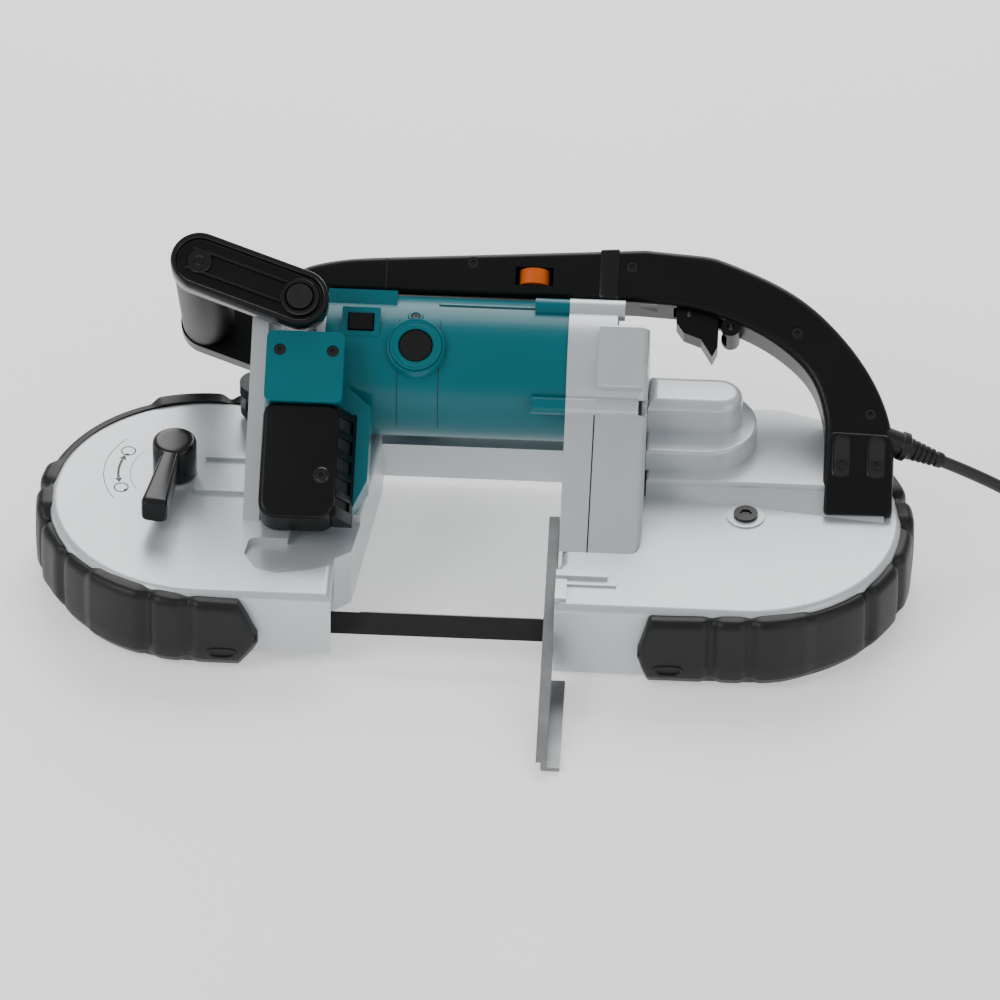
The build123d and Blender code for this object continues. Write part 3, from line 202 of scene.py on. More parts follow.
@dataclass(frozen=True)
class Finish:
    """One surface finish: its colour, its gloss and the fine relief that it shows."""

    name: str
    colour: Point
    roughness: float
    metallic: float = 0.0
    mottle: float = 0.08
    mottle_scale: float = 22.0
    grain_scale: float = 1400.0
    grain_depth: float = 0.00006
    stretch: Point = (1.0, 1.0, 1.0)
    coat: float = 0.0
    coat_roughness: float = 0.2
    waves: float = 0.0
    specular: float = 0.5

    def tone(self, share: float) -> Point:
        """The colour made lighter or darker by a share of itself."""
        return tuple(min(1.0, c * (1 + share)) for c in self.colour)

    def material(self) -> bpy.types.Material:
        """The finish as a material, made once and then reused."""
        title = "look_" + self.name
        if title in bpy.data.materials:
            return bpy.data.materials[title]
        n = Nodes(title)
        cloud = n.noise(self.mottle_scale, 4.0)
        grain = n.noise(self.grain_scale, 3.0, self.stretch)
        colour = n.shade(n.spread(cloud, 0, 1), self.tone(-self.mottle), self.tone(self.mottle))
        n.link(colour, n.shader.inputs["Base Color"])
        rough = n.spread(grain, self.roughness * 0.88, min(1.0, self.roughness * 1.12))
        n.link(rough, n.shader.inputs["Roughness"])
        relief = None
        if self.waves:
            relief = n.bump(n.noise(60.0, 1.0), self.waves, 0.5)
        n.link(n.bump(grain, self.grain_depth, 0.6, relief), n.shader.inputs["Normal"])
        n.shader.inputs["Metallic"].default_value = self.metallic
        n.shader.inputs["Coat Weight"].default_value = self.coat
        n.shader.inputs["Coat Roughness"].default_value = self.coat_roughness
        n.shader.inputs["Specular IOR Level"].default_value = self.specular
        return n.material


SILVER_PAINT = Finish("silver_paint", (0.56, 0.595, 0.62), 0.34, 0.35, 0.03, 16.0, 1900.0, 0.00003,
                      coat=0.25, coat_roughness=0.3, waves=0.0002)
TEAL_PLASTIC = Finish("teal_plastic", (0.0, 0.125, 0.155), 0.3, 0.0, 0.05, 18.0, 2600.0, 0.000006,
                      specular=0.3)
BLACK_PLASTIC = Finish("black_plastic", (0.0035, 0.0038, 0.004), 0.34, 0.0, 0.18, 30.0, 2300.0, 0.000012,
                       specular=0.22)
SMOOTH_BLACK = Finish("smooth_black", (0.0035, 0.0038, 0.004), 0.22, 0.0, 0.12, 30.0, 2600.0, 0.000005,
                      specular=0.4)
RUBBER = Finish("guard_rubber", (0.006, 0.0065, 0.0068), 0.46, 0.0, 0.2, 26.0, 1500.0, 0.00003,
                specular=0.35)
TYRE = Finish("tyre_rubber", (0.012, 0.012, 0.012), 0.7, 0.0, 0.2, 60.0, 1700.0, 0.00006)
LEVER_GREY = Finish("lever_grey", (0.004, 0.0043, 0.0045), 0.24, 0.0, 0.1, 30.0, 2600.0, 0.000006,
                    specular=0.4)
BLADE_STEEL = Finish("blade_steel", (0.018, 0.018, 0.019), 0.42, 0.4, 0.12, 60.0, 900.0, 0.00002,
                     stretch=(0.1, 1, 6))
BRIGHT_STEEL = Finish("bright_steel", (0.55, 0.55, 0.56), 0.3, 1.0, 0.06, 40.0, 1200.0, 0.00002,
                      stretch=(1, 1, 8))
ZINC_STEEL = Finish("zinc_steel", (0.22, 0.225, 0.23), 0.42, 0.9, 0.12, 70.0, 1400.0, 0.00003)
CAST_METAL = Finish("cast_metal", (0.45, 0.455, 0.46), 0.5, 0.85, 0.08, 40.0, 1100.0, 0.00008)
SCREW_BLACK = Finish("screw_black", (0.012, 0.012, 0.013), 0.35, 0.3, 0.15, 200.0, 2500.0, 0.00002)
ORANGE_PLASTIC = Finish("orange_plastic", (0.62, 0.11, 0.004), 0.4, 0.0, 0.08, 80.0, specular=0.25)
COPPER_IRON = Finish("copper_iron", (0.30, 0.13, 0.06), 0.45, 0.7, 0.25, 150.0)
CORD_SHEATH = Finish("cord_sheath", (0.011, 0.0115, 0.012), 0.5, 0.0, 0.15, 60.0, 1600.0, 0.00005)
# SHADOW is painted shade: a near-black colour laid on seams, gaps, slots and recess floors where only shade
# falls.
SHADOW = Finish("painted_recess_shade", (0.004, 0.0045, 0.005), 0.6, 0.0, 0.2, 60.0)
LABEL_INK = Finish("label_ink", (0.03, 0.032, 0.034), 0.5, 0.0, 0.1, 90.0)

NODE_FINISHES: dict[str, Finish] = {
    **dict.fromkeys(("idler_housing", "drive_housing", "frame_beam", "frame_post", "gear_housing",
                     "gear_cover", "spindle_dome"), SILVER_PAINT),
    **dict.fromkeys(("motor_housing", "rear_cover"), TEAL_PLASTIC),
    **dict.fromkeys(("vent_cover", "handle_half_front", "handle_half_rear", "trigger", "front_handle",
                     "brush_caps", "lamp_switch", "switch_module", "tracking_knob", "cooling_fan"),
                    BLACK_PLASTIC),
    **dict.fromkeys(("bumper_front_left", "bumper_rear_left", "bumper_front_right", "bumper_rear_right",
                     "front_handle_grip"), RUBBER),
    **dict.fromkeys(("idler_tyre", "drive_tyre"), TYRE),
    **dict.fromkeys(("idler_wheel", "drive_wheel", "guide_blocks"), CAST_METAL),
    **dict.fromkeys(("frame_screws", "shell_screws", "pivot_bolt"), SCREW_BLACK),
    **dict.fromkeys(("stator", "armature", "carbon_brushes"), COPPER_IRON),
    **dict.fromkeys(("cord_guard", "power_cord", "cord_coil", "power_plug"), CORD_SHEATH),
    "tension_lever": LEVER_GREY,
    "saw_blade": BLADE_STEEL,
    "stop_plate": ZINC_STEEL,
    "speed_dial": ORANGE_PLASTIC,
}


def dress(piece: bpy.types.Object, finish: Finish) -> bpy.types.Object:
    """Gives a piece one finish all over."""
    piece.data.materials.clear()
    piece.data.materials.append(finish.material())
    return piece


# ---------------------------------------------------------------- surfaces
def faces_of(rows: int, columns: int, wrap: bool) -> Array:
    """Corner numbers of the four-sided faces of a grid of points.

    Args:
        rows: Points along the first way.
        columns: Points along the second way.
        wrap: Whether the second way closes on itself.

    Returns:
        An array of four corner numbers per face.
    """
    i = np.arange(rows - 1)[:, None]
    j = np.arange(columns if wrap else columns - 1)[None, :]
    after = (j + 1) % columns
    corners = [i * columns + j, i * columns + after, (i + 1) * columns + after, (i + 1) * columns + j]
    return np.stack(np.broadcast_arrays(*corners), -1).reshape(-1, 4)


def skin(name: str, grid: Array, wrap: bool = True, caps: bool = True,
         sharp: float = 40.0) -> bpy.types.Object:
    """Makes an object from a grid of points, with its ends closed by flat faces where asked.

    Args:
        name: The piece's name.
        grid: Points in metres, rows by columns by 3; the rows follow the path and the columns go round it.
        wrap: Whether the columns close on themselves.
        caps: Whether the first and last rows are closed.
        sharp: The angle in degrees above which an edge stays sharp.

    Returns:
        The new object, with its faces pointing out.
    """
    rows, columns = grid.shape[:2]
    faces = faces_of(rows, columns, wrap).tolist()
    if caps:
        faces.append(list(range(columns))[::-1])
        faces.append(list(range((rows - 1) * columns, rows * columns)))
    mesh = bpy.data.meshes.new(name)
    mesh.from_pydata(grid.reshape(-1, 3).tolist(), [], faces)
    return finish_mesh(name, mesh, sharp)


def finish_mesh(name: str, mesh: bpy.types.Mesh, sharp: float = 40.0) -> bpy.types.Object:
    """Merges doubles, turns the faces out and smooths the mesh between its sharp edges.

    Args:
        name: The piece's name.
        mesh: The mesh to finish.
        sharp: The angle in degrees above which an edge stays sharp.

    Returns:
        An object that holds the mesh.
    """
    work = bmesh.new()
    work.from_mesh(mesh)
    bmesh.ops.remove_doubles(work, verts=work.verts, dist=2e-6)
    bmesh.ops.recalc_face_normals(work, faces=work.faces)
    work.to_mesh(mesh)
    work.free()
    mesh.shade_smooth()
    mesh.set_sharp_from_angle(angle=radians(sharp))
    piece = bpy.data.objects.new(name, mesh)
    bpy.context.scene.collection.objects.link(piece)
    return piece


def joined(name: str, pieces: Sequence[bpy.types.Object]) -> bpy.types.Object:
    """Joins several objects into one and names it."""
    with bpy.context.temp_override(active_object=pieces[0], selected_editable_objects=list(pieces)):
        bpy.ops.object.join()
    pieces[0].name = name
    pieces[0].data.name = name
    return pieces[0]


def turned(name: str, axes: Axes, profile: Sequence[tuple[float, float]], around: int = 48,
           sharp: float = 35.0) -> bpy.types.Object:
    """A turned shape: each (radius, height) of the profile is carried round the local z.

    The surface is origin + r(t) (cos a x + sin a y) + h(t) z.

    Args:
        name: The piece's name.
        axes: Where it stands; z is its axis.
        profile: Radius and height pairs in millimetres, from one end to the other.
        around: Points in one turn.
        sharp: The angle in degrees above which an edge stays sharp.

    Returns:
        The new object.
    """
    r, h = np.array(profile, float).T
    a = np.linspace(0, 2 * pi, around, endpoint=False)
    grid = np.stack([r[:, None] * np.cos(a), r[:, None] * np.sin(a), np.repeat(h[:, None], around, 1)], -1)
    return skin(name, axes.put(grid), sharp=sharp)


def ring(name: str, axes: Axes, profile: Sequence[tuple[float, float]], around: int = 48,
         sharp: float = 35.0) -> bpy.types.Object:
    """A turned ring: like a turned shape, but the profile closes on itself."""
    r, h = np.array(list(profile) + [profile[0]], float).T
    a = np.linspace(0, 2 * pi, around, endpoint=False)
    grid = np.stack([r[:, None] * np.cos(a), r[:, None] * np.sin(a), np.repeat(h[:, None], around, 1)], -1)
    return skin(name, axes.put(grid), caps=False, sharp=sharp)


def softened(corners: Sequence[tuple[float, float]], radius: float | Sequence[float],
             steps: int = 5) -> Array:
    """An outline with rounded corners.

    Each corner C becomes the curve (1-t)^2 A + 2 t (1-t) C + t^2 B between points A and B that lie a radius
    away along its two sides.

    Args:
        corners: The corners in order.
        radius: How far the rounding reaches along each side, one number or one per corner.
        steps: Points per corner.

    Returns:
        The outline's points, n by 2.
    """
    c = np.array(corners, float)
    before, after = np.roll(c, 1, 0) - c, np.roll(c, -1, 0) - c
    long_b, long_a = np.linalg.norm(before, axis=1), np.linalg.norm(after, axis=1)
    r = np.minimum(np.broadcast_to(np.array(radius, float), len(c)), 0.49 * np.minimum(long_b, long_a))
    a, b = c + before * (r / long_b)[:, None], c + after * (r / long_a)[:, None]
    t = np.linspace(0, 1, steps)[None, :, None]
    return ((1 - t) ** 2 * a[:, None] + 2 * t * (1 - t) * c[:, None] + t**2 * b[:, None]).reshape(-1, 2)


def inwards(outline: Array, distance: float) -> Array:
    """Moves each point of an anticlockwise outline inwards along its corner's bisector."""
    tangent = np.roll(outline, -1, 0) - np.roll(outline, 1, 0)
    tangent /= np.maximum(np.linalg.norm(tangent, axis=1), 1e-9)[:, None]
    return outline + distance * np.stack([-tangent[:, 1], tangent[:, 0]], -1)


def pad(name: str, axes: Axes, outline: Array, bottom: float, top: float, edge: float = 0.6, steps: int = 4,
        sharp: float = 40.0) -> bpy.types.Object:
    """A flat plate with a rounded upper edge.

    Ring k lies inside the outline by e (1 - cos a) at the height top - e (1 - sin a), for a from 0 to 90
    degrees.

    Args:
        name: The piece's name.
        axes: The plate's plane is x and y, and its height is along z.
        outline: Anticlockwise points in millimetres.
        bottom: Height of its underside.
        top: Height of its upper face.
        edge: Radius of the upper edge.
        steps: Rings in the rounding.
        sharp: The angle in degrees above which an edge stays sharp.

    Returns:
        The new object.
    """
    turn = np.linspace(0, pi / 2, steps)
    rings = [np.c_[outline, np.full(len(outline), bottom)]]
    for a in turn:
        level = np.full(len(outline), top - edge * (1 - sin(a)))
        rings.append(np.c_[inwards(outline, edge * (1 - cos(a))), level])
    return skin(name, axes.put(np.stack(rings)), sharp=sharp)


# ---------------------------------------------------------------- rubber guards
@dataclass(frozen=True)
class GuardStation:
    """A place along a guard: how far round the housing, how far out and how high the rubber reaches."""

    along: float
    out: float
    top: float
    lip: float = 0.0


class Side(Enum):
    """Which housing a guard is on: the number turns its plan round in X."""

    IDLER = -1
    DRIVE = 1


@dataclass
class RubberGuard:
    """One rubber guard round a housing, as a section carried round the rim.

    The way round starts at the housing's outer end and runs to the back; it is an arc round the wheel's
    axis, then a straight line along the housing's side.
    """

    name: str
    side: Side
    stations: tuple[GuardStation, ...]
    creases: tuple[float, ...] = ()
    slot_at: float | None = None
    wall: float = 90.0
    gap: float = 0.15
    crease_depth: float = 3.4
    crease_width: float = 3.6
    point: float = 0.0

    def rim(self, along: Array, out: Array) -> Array:
        """Plan points at a way round and a distance out from the wheel's axis.

        Up to a quarter turn either way the point is c + out (cos a, sin a) with a = along / wall; past that
        it runs back along the side at the distance out.

        Args:
            along: Way round in millimetres, positive to the back.
            out: Distance from the axis in millimetres.

        Returns:
            Points whose last axis is x and y.
        """
        quarter = self.wall * pi / 2
        a = np.clip(along, -quarter, quarter) / self.wall
        past = np.maximum(np.abs(along) - quarter, 0)
        x = 1000 * abs(JOINTS["drive_spin"]["pos_m"][0]) + out * np.cos(a) - past
        return np.stack([self.side.value * x, out * np.sin(a)], -1)

    def shape(self, along: Array) -> tuple[Array, Array, Array]:
        """Reach, height and lip at each way round, eased between the stations and pinched at the creases."""
        keys = np.array([(s.along, s.out, s.top, s.lip) for s in self.stations])
        k = np.clip(np.searchsorted(keys[:, 0], along, side="right") - 1, 0, len(keys) - 2)
        t = np.clip((along - keys[k, 0]) / (keys[k + 1, 0] - keys[k, 0]), 0, 1)
        t = (t * t * (3 - 2 * t))[:, None]
        out, top, lip = (keys[k, 1:] * (1 - t) + keys[k + 1, 1:] * t).T
        for at in self.creases:
            pinch = np.exp(-(((along - at) / self.crease_width) ** 2))
            out, top = out - self.crease_depth * pinch, top - 1.2 * pinch
        return out, top, lip

    def build(self) -> bpy.types.Object:
        """The guard's mesh: each row is a rounded section from the wall, under, out, up and over the rim."""
        first, last = self.stations[0].along, self.stations[-1].along
        along = np.linspace(first, last, int((last - first) / 1.1))
        out, top, lip = self.shape(along)
        end = np.minimum(along - first, last - along)
        out = out - 3.6 * np.clip(1 - end / 3.5, 0, 1) ** 2
        foot = 0.3 + 2.2 * np.clip(1 - end / 3.0, 0, 1) ** 2
        if self.point:
            taper = np.clip(1 - (along - first) / self.point, 0, 1)
            foot, top = foot + 14 * taper, top - 20 * taper
        turn = np.linspace(0, pi / 2, 6)
        low, high = 8.0, 6.0
        tuck = np.clip(out - self.wall, 1, 7)
        inside = self.wall + self.gap
        r = [np.full_like(out, inside), out - tuck, out - 0.55 * tuck]
        z = [foot, foot, foot + 2.6]
        r += [out - 0.3 * tuck * (1 - sin(a)) for a in turn]
        z += [foot + low - 3.0 * (1 - sin(a)) for a in turn]
        r += [out + 0.5 * sin(pi * k / 4) for k in (1, 2, 3)]
        z += [foot + low + (top - high - foot - low) * k / 4 for k in (1, 2, 3)]
        r += [out - high * 0.75 * (1 - cos(a)) for a in turn]
        z += [top - high * (1 - sin(a)) for a in turn]
        r += [inside - lip, inside - lip, np.full_like(out, inside)]
        z += [top - 0.2, top - 0.8 - 0.3 * lip, top - 1.5 - 1.3 * lip]
        r, z = np.stack(r, -1), np.stack(z, -1)
        plan = self.rim(np.repeat(along[:, None], r.shape[1], 1), r)
        grid = FLAT.put(np.concatenate([plan, z[..., None]], -1))
        return skin(self.name + "_rubber", grid, sharp=55)

    def slot(self) -> bpy.types.Object:
        """The oval drain slot low on the guard's face, its rim and hollow coloured near-black as painted shade.
        """
        a = np.linspace(0, 2 * pi, 40, endpoint=False)
        u = 6.5 * np.sign(np.cos(a)) * np.abs(np.cos(a)) ** 0.6
        v = 2.6 * np.sign(np.sin(a)) * np.abs(np.sin(a)) ** 0.8
        out = self.shape(np.array([self.slot_at]))[0][0]
        rows = []
        for grow, depth in ((1.35, -0.6), (1.3, 0.75), (1.12, 0.85), (1.0, 0.1), (0.98, -0.4)):
            plan = self.rim(self.slot_at + u * grow, np.full_like(u, out + 0.25 + depth))
            rows.append(np.c_[plan, 13.5 + v * grow])
        return skin(self.name + "_slot", FLAT.put(np.stack(rows)), sharp=50)

    def pieces(self) -> list[bpy.types.Object]:
        """Makes the guard, its slot where it has one, and hangs them on the saw."""
        guard = dress(self.build(), RUBBER)
        parts = [guard]
        if self.slot_at is not None:
            # the slot gets the painted shade colour
            parts.append(dress(self.slot(), SHADOW))
            guard = joined(self.name + "_rubber", parts)
        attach(guard, "saw")
        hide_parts(self.name)
        return [guard]


@dataclass
class Guards:
    """The four rubber guards of the two housings."""

    def build(self) -> list[bpy.types.Object]:
        """Makes all four guards."""
        st = GuardStation
        guards = (
            RubberGuard("bumper_front_left", Side.IDLER, (
                st(-178, 97.6, 44, 0.4), st(-170, 98.2, 47, 1.6), st(-100, 98.2, 49.5, 2.2),
                st(-82, 97.6, 49, 2.2), st(-74, 95.4, 46.5, 1.2), st(-40, 95.6, 45, 0.6),
                st(-28, 96.8, 45.5, 0.6), st(-22.2, 95.6, 45, 0.5)),
                creases=(-138, -116, -52), slot_at=-158, point=11.0),
            RubberGuard("bumper_rear_left", Side.IDLER, (
                st(-21.6, 96.2, 45, 0.5), st(-10, 97.8, 49.5, 2.0), st(22, 97.8, 50.5, 2.4),
                st(30, 94.4, 50, 2.2), st(102, 94.4, 50.6, 2.4), st(110, 97.8, 52.0, 3.0),
                st(228, 97.8, 50.5, 2.4), st(235, 96.8, 48, 1.2)),
                creases=(6, 150, 175)),
            RubberGuard("bumper_front_right", Side.DRIVE, (
                st(-200, 97.6, 44, 0.4), st(-192, 98.2, 47, 1.4), st(-120, 98.2, 48.5, 2.0),
                st(-108, 97.4, 48, 2.0), st(-98, 95.6, 46, 1.2), st(-60, 96.0, 45.5, 1.0),
                st(-2, 96.8, 47, 1.4), st(-0.4, 96.6, 47, 1.4)),
                creases=(-158, -136, -62, -30), slot_at=-182, point=6.0),
            RubberGuard("bumper_rear_right", Side.DRIVE, (
                st(0.4, 96.6, 47, 1.4), st(8, 97.8, 49.5, 2.0), st(46, 97.8, 50.5, 2.4),
                st(56, 94.4, 50, 2.2), st(92, 94.4, 50.6, 2.4), st(100, 97.8, 51.5, 2.6),
                st(230, 97.8, 50.5, 2.4), st(237, 96.8, 48, 1.2)),
                creases=(24, 150, 175)),
        )
        return [piece for guard in guards for piece in guard.pieces()]


# ---------------------------------------------------------------- tension lever
@dataclass
class TensionLever:
    """The blade-release lever: a round hub, a flaring arm, and the shaft and cam under the deck."""

    hub_radius: float = 12.8
    under: float = 52.6
    top: float = 76.0
    bearing: float = 262.0
    reach: float = 57.0

    def arm(self, axes: Axes) -> bpy.types.Object:
        """The arm: a rounded rectangle carried outwards, that flares from the neck to the square end.

        Args:
            axes: Directions at the hub's centre.

        Returns:
            The arm as one closed skin.
        """
        t = np.linspace(0, 1, 26)
        half = 5.2 + 2.6 * t**1.4
        upper = self.top - 0.4 - 1.6 * t
        lower = self.under + 4.6 + 1.5 * t
        a = np.linspace(0, 2 * pi, 32, endpoint=False)
        c, s = np.cos(a), np.sin(a)
        v = half[:, None] * np.sign(c) * np.abs(c) ** 0.32
        w = (upper + lower)[:, None] / 2 + (upper - lower)[:, None] / 2 * np.sign(s) * np.abs(s) ** 0.28
        close = np.clip((t - 0.955) / 0.045, 0, 1)[:, None] * 1.4
        v, w = v - np.sign(c) * close, w - np.sign(s) * close
        u = np.repeat((5 + (self.reach - 5) * t)[:, None], 32, 1)
        b = radians(self.bearing)
        grid = np.stack([u * cos(b) - v * sin(b), u * sin(b) + v * cos(b), w], -1)
        return skin("lever_arm", axes.put(grid), sharp=50)

    def build(self) -> list[bpy.types.Object]:
        """Makes the lever as one piece on its own body."""
        x, y = (1000 * v for v in JOINTS["tension_lever_turn"]["pos_m"][:2])
        axes = FLAT.at(x, y - 1000 * WHEEL_LINE_Y, 0)
        r, z = self.hub_radius, self.top
        hub = turned("lever_hub", axes, [
            (0, self.under), (r - 0.6, self.under), (r, self.under + 0.8), (r, z - 2.4), (r - 0.4, z - 1.2),
            (r - 1.3, z - 0.35), (r - 2.6, z), (r - 5.5, z), (0, z)], 56, 50)
        dress(hub, LEVER_GREY)
        arm = dress(self.arm(axes), LEVER_GREY)
        shaft = turned("lever_shaft", axes, [(0, 41), (5, 41), (5, 53), (0, 53)], 28)
        cam = turned("lever_cam", axes.at(-2.5, 0, 0), [
            (0, 36.3), (8.6, 36.3), (9, 36.7), (9, 41.4), (8.6, 41.8), (0, 41.8)], 40)
        for part in (shaft, cam):
            dress(part, BRIGHT_STEEL)
        lever = joined("tension_lever_moulding", [hub, arm, shaft, cam])
        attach(lever, "lever")
        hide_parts("tension_lever")
        return [lever]


# ---------------------------------------------------------------- motor unit
def round_motor(up: float, lift: float = 0.0, x: float = 0.0) -> Axes:
    """Directions on the motor's round at a height: x along the motor, y up round it, z outwards."""
    a = math.asin((up - MOTOR_UP) / MOTOR_RADIUS)
    out, rise = TILTED.z * cos(a) + TILTED.y * sin(a), TILTED.y * cos(a) - TILTED.z * sin(a)
    centre = TILTED.put(np.array([x, MOTOR_UP, MOTOR_FWD]))
    return Axes(centre + out * (MOTOR_RADIUS + lift) / 1000, TILTED.x, rise, out)


@dataclass
class MotorDetails:
    """What sits on the motor's casing: a long grip bar in a gap painted as shade, a screw, seams painted as
    dark shade lines and the brush cap's rings.
    """

    bar: tuple[float, float] = (-26.0, 31.0)
    bar_up: float = 143.5
    screw: tuple[float, float] = (-38.7, 133.0)
    seams: tuple[float, float] = (-47.8, -24.0)

    def build(self) -> list[bpy.types.Object]:
        """Makes the details as two pieces: the teal mouldings, and the black parts joined with the painted
        shade of the bar's gap and the seams.
        """
        on = round_motor(self.bar_up)
        x0, x1 = self.bar
        slot = softened([(x0, -2.1), (x1, -2.1), (x1, 2.1), (x0, 2.1)], 1.6)
        teal = [dress(pad("bar", on, inwards(slot, 0.8), -1, 0.8, 0.4), TEAL_PLASTIC)]
        # the gap round the grip bar is a thin sheet of painted shade
        dark = [dress(pad("bar_gap_shade", on, slot, -1, 0.12, 0.05, 2), SHADOW)]
        cap = TILTED.at(BRUSH_X, BRUSH_UP, 0)
        f = MOTOR_FWD + 45
        at = round_motor(self.screw[1], 0, self.screw[0])
        teal += [dress(ring(*rim), TEAL_PLASTIC) for rim in (
            ("brush_ring", cap, [(10.1, f - 4), (10.1, f - 0.3), (10.6, f + 0.4), (12.4, f + 0.4),
                                 (12.9, f - 0.1), (12.9, f - 4)], 64),
            ("brush_skirt", cap, [(15.0, f - 14), (15.0, f - 1.4), (15.4, f - 0.8), (16.4, f - 1.0),
                                  (17.2, f - 2.6), (17.6, f - 14)], 64),
            ("screw_well", at, [(2.6, -1), (2.6, 0.7), (3.0, 1.0), (3.9, 0.9), (4.6, 0.2), (4.6, -1)], 36))]
        dark.append(dress(turned("brush_disc", cap, [
            (0, f - 3), (9.8, f - 3), (9.8, f - 0.9), (9.2, f - 0.4), (0, f - 0.4)], 56), SMOOTH_BLACK))
        dark.append(dress(turned("screw", at, [
            (0, -1), (2.4, -1), (2.4, 0.3), (2.0, 0.6), (1.0, 0.6), (1.0, 0.2), (0, 0.2)], 28), SCREW_BLACK))
        # each seam is a thin band of painted shade round the casing
        for seam in self.seams:
            a = np.linspace(radians(-78), radians(24), 50)
            r = np.array([MOTOR_RADIUS - 0.5, MOTOR_RADIUS + 0.07, MOTOR_RADIUS + 0.07, MOTOR_RADIUS - 0.5])
            x = seam + np.array([-0.22, -0.22, 0.22, 0.22])
            grid = np.stack(np.broadcast_arrays(x, MOTOR_UP + r * np.sin(a)[:, None],
                                                MOTOR_FWD + r * np.cos(a)[:, None]), -1)
            dark.append(dress(skin("seam", TILTED.put(grid)), SHADOW))
        pieces = [joined("motor_mouldings", teal), joined("motor_black_parts_and_shade", dark)]
        for piece, slot_name in zip(pieces, ("teal_plastic", "black_plastic")):
            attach(piece, "saw")
        return pieces


@dataclass
class BlowerBox:
    """Black lower box with a rounded front and a sloping side of slots."""

    x0: float = -122.8
    x1: float = -79.0
    foot: float = 4.0
    head: float = 72.6
    front: float = 86.7
    slots: int = 5
    pitch: float = 12.1
    rib: float = 4.4

    def build(self) -> list[bpy.types.Object]:
        """Makes the box, its ribs and a near-black sheet of painted shade inside the slots as one piece."""
        outline = softened([(self.x0, self.foot), (self.x1, self.foot), (self.x1, self.head),
                            (self.x0, self.head)], (11, 11, 8, 8), 10)
        parts = [dress(pad("box", TILTED, outline, 60.0, self.front, 3.0, 7), BLACK_PLASTIC)]
        across = Axes(TILTED.origin, TILTED.x, TILTED.z, -TILTED.y)
        slope = [(self.x1 - 2, 61.0), (-69.5, 61.0), (-69.5, 66.4), (self.x1 + 0.6, self.front - 3.2),
                 (self.x1 - 2, self.front - 2.6)]
        for k in range(self.slots + 1):
            up = 6.5 + self.pitch * k
            high = up + (self.rib if 0 < k else self.rib + 2)
            parts.append(dress(pad("rib", across, np.array(slope), -min(high, 72.4), -up, 0.3, 2),
                               BLACK_PLASTIC))
        # the inside behind the slots is a dark sheet of painted shade
        shade_outline = [(self.x1 - 2, 60.5), (-70.6, 60.5), (-70.6, 65.2), (self.x1 - 0.2, self.front - 5.0),
                (self.x1 - 2, self.front - 4.0)]
        parts.append(dress(pad("inside", across, np.array(shade_outline), -71.0, -7.0, 0.1, 2), SHADOW))
        rail = [(-71.2, 61.0), (-69.5, 61.0), (-69.5, 66.4), (-71.2, 69.6)]
        parts.append(dress(pad("rail", across, np.array(rail), -72.4, -6.5, 0.3, 2), BLACK_PLASTIC))
        well = TILTED.at(-87.5, 30.0, 0)
        f = self.front
        parts.append(dress(ring("screw_well", well, [
            (3.4, 84), (3.4, f + 0.5), (3.8, f + 0.8), (4.4, f + 0.5), (5.0, f - 0.2), (5.0, 84)], 36),
            SMOOTH_BLACK))
        box = joined("blower_box", parts)
        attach(box, "saw")
        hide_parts("vent_cover")
        return [box]


# ---------------------------------------------------------------- handles
@dataclass
class HandleDetails:
    """Collar round the bar, the foot's cover with two screw pockets whose floors are painted shade, and the cap
    seam at the front painted as a band of shade.
    """

    collar: tuple[float, float] = (66.0, 77.0)

    def around_bar(self, name: str, x0: float, x1: float, lift: float, finish: Finish) -> bpy.types.Object:
        """A band round the bar: its rounded rectangle follows the bar's top and bottom along X."""
        back, near = 9.5 - lift, 42.5 + lift
        corner = softened([(back, -lift), (near, -lift), (near, 1 + lift), (back, 1 + lift)], (3, 3, 3, 3), 7)
        rows = []
        for x, less in ((x0, 1.0), (x0 + 0.05, 0.4), (x0 + 0.8, 0),
                        (x1 - 0.8, 0), (x1 - 0.05, 0.4), (x1, 1.0)):
            top, low = 187.6 - 0.075 * (92 - x), 158.0
            fwd = 26 + (corner[:, 0] - 26) * (16.5 + lift - less) / (16.5 + lift)
            up = np.where(corner[:, 1] > 0.5, top + corner[:, 1] - 1 - less, low + corner[:, 1] + less)
            rows.append(np.c_[np.full(len(fwd), x), up, fwd])
        return dress(skin(name, TILTED.put(np.stack(rows)), sharp=50), finish)

    def build(self) -> list[bpy.types.Object]:
        """Makes the details as one piece on the saw."""
        # the cap seam is a thin band of painted shade
        parts = [self.around_bar("collar", *self.collar, 1.1, SMOOTH_BLACK),
                 self.around_bar("cap_seam_shade", -58.6, -57.6, 0.25, SHADOW)]
        foot = softened([(200.6, 32), (240.3, 32), (240.0, 60), (238.6, 80.5), (202.0, 81.5)],
                        (3, 3, 4, 5, 5), 6)
        parts.append(dress(pad("foot", TILTED, foot, 38.0, 44.4, 1.8, 6), BLACK_PLASTIC))
        for x in (210.2, 230.4):
            pocket = softened([(x - 4.6, 54), (x + 4.6, 54), (x + 4.6, 78), (x - 4.6, 78)], 4.0, 6)
            # the pocket floor is a dark sheet of painted shade
            parts.append(dress(pad("pocket", TILTED, pocket, 40.0, 44.47, 0.05, 2), SHADOW))
            rim = np.stack([np.c_[inwards(pocket, d), np.full(len(pocket), h)]
                            for d, h in ((-1.2, 44.0), (-0.9, 44.7), (-0.3, 44.9), (0.1, 44.4))])
            parts.append(dress(skin("pocket_rim", TILTED.put(rim), caps=False), SMOOTH_BLACK))
            screw = TILTED.at(x, 62.0, 0)
            parts.append(dress(turned("foot_screw", screw, [
                (0, 43), (3.1, 43), (3.1, 45.2), (2.6, 45.7), (1.5, 45.7), (1.5, 45.0), (0, 45.0)], 32),
                SCREW_BLACK))
        piece = joined("handle_details", parts)
        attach(piece, "saw")
        return [piece]


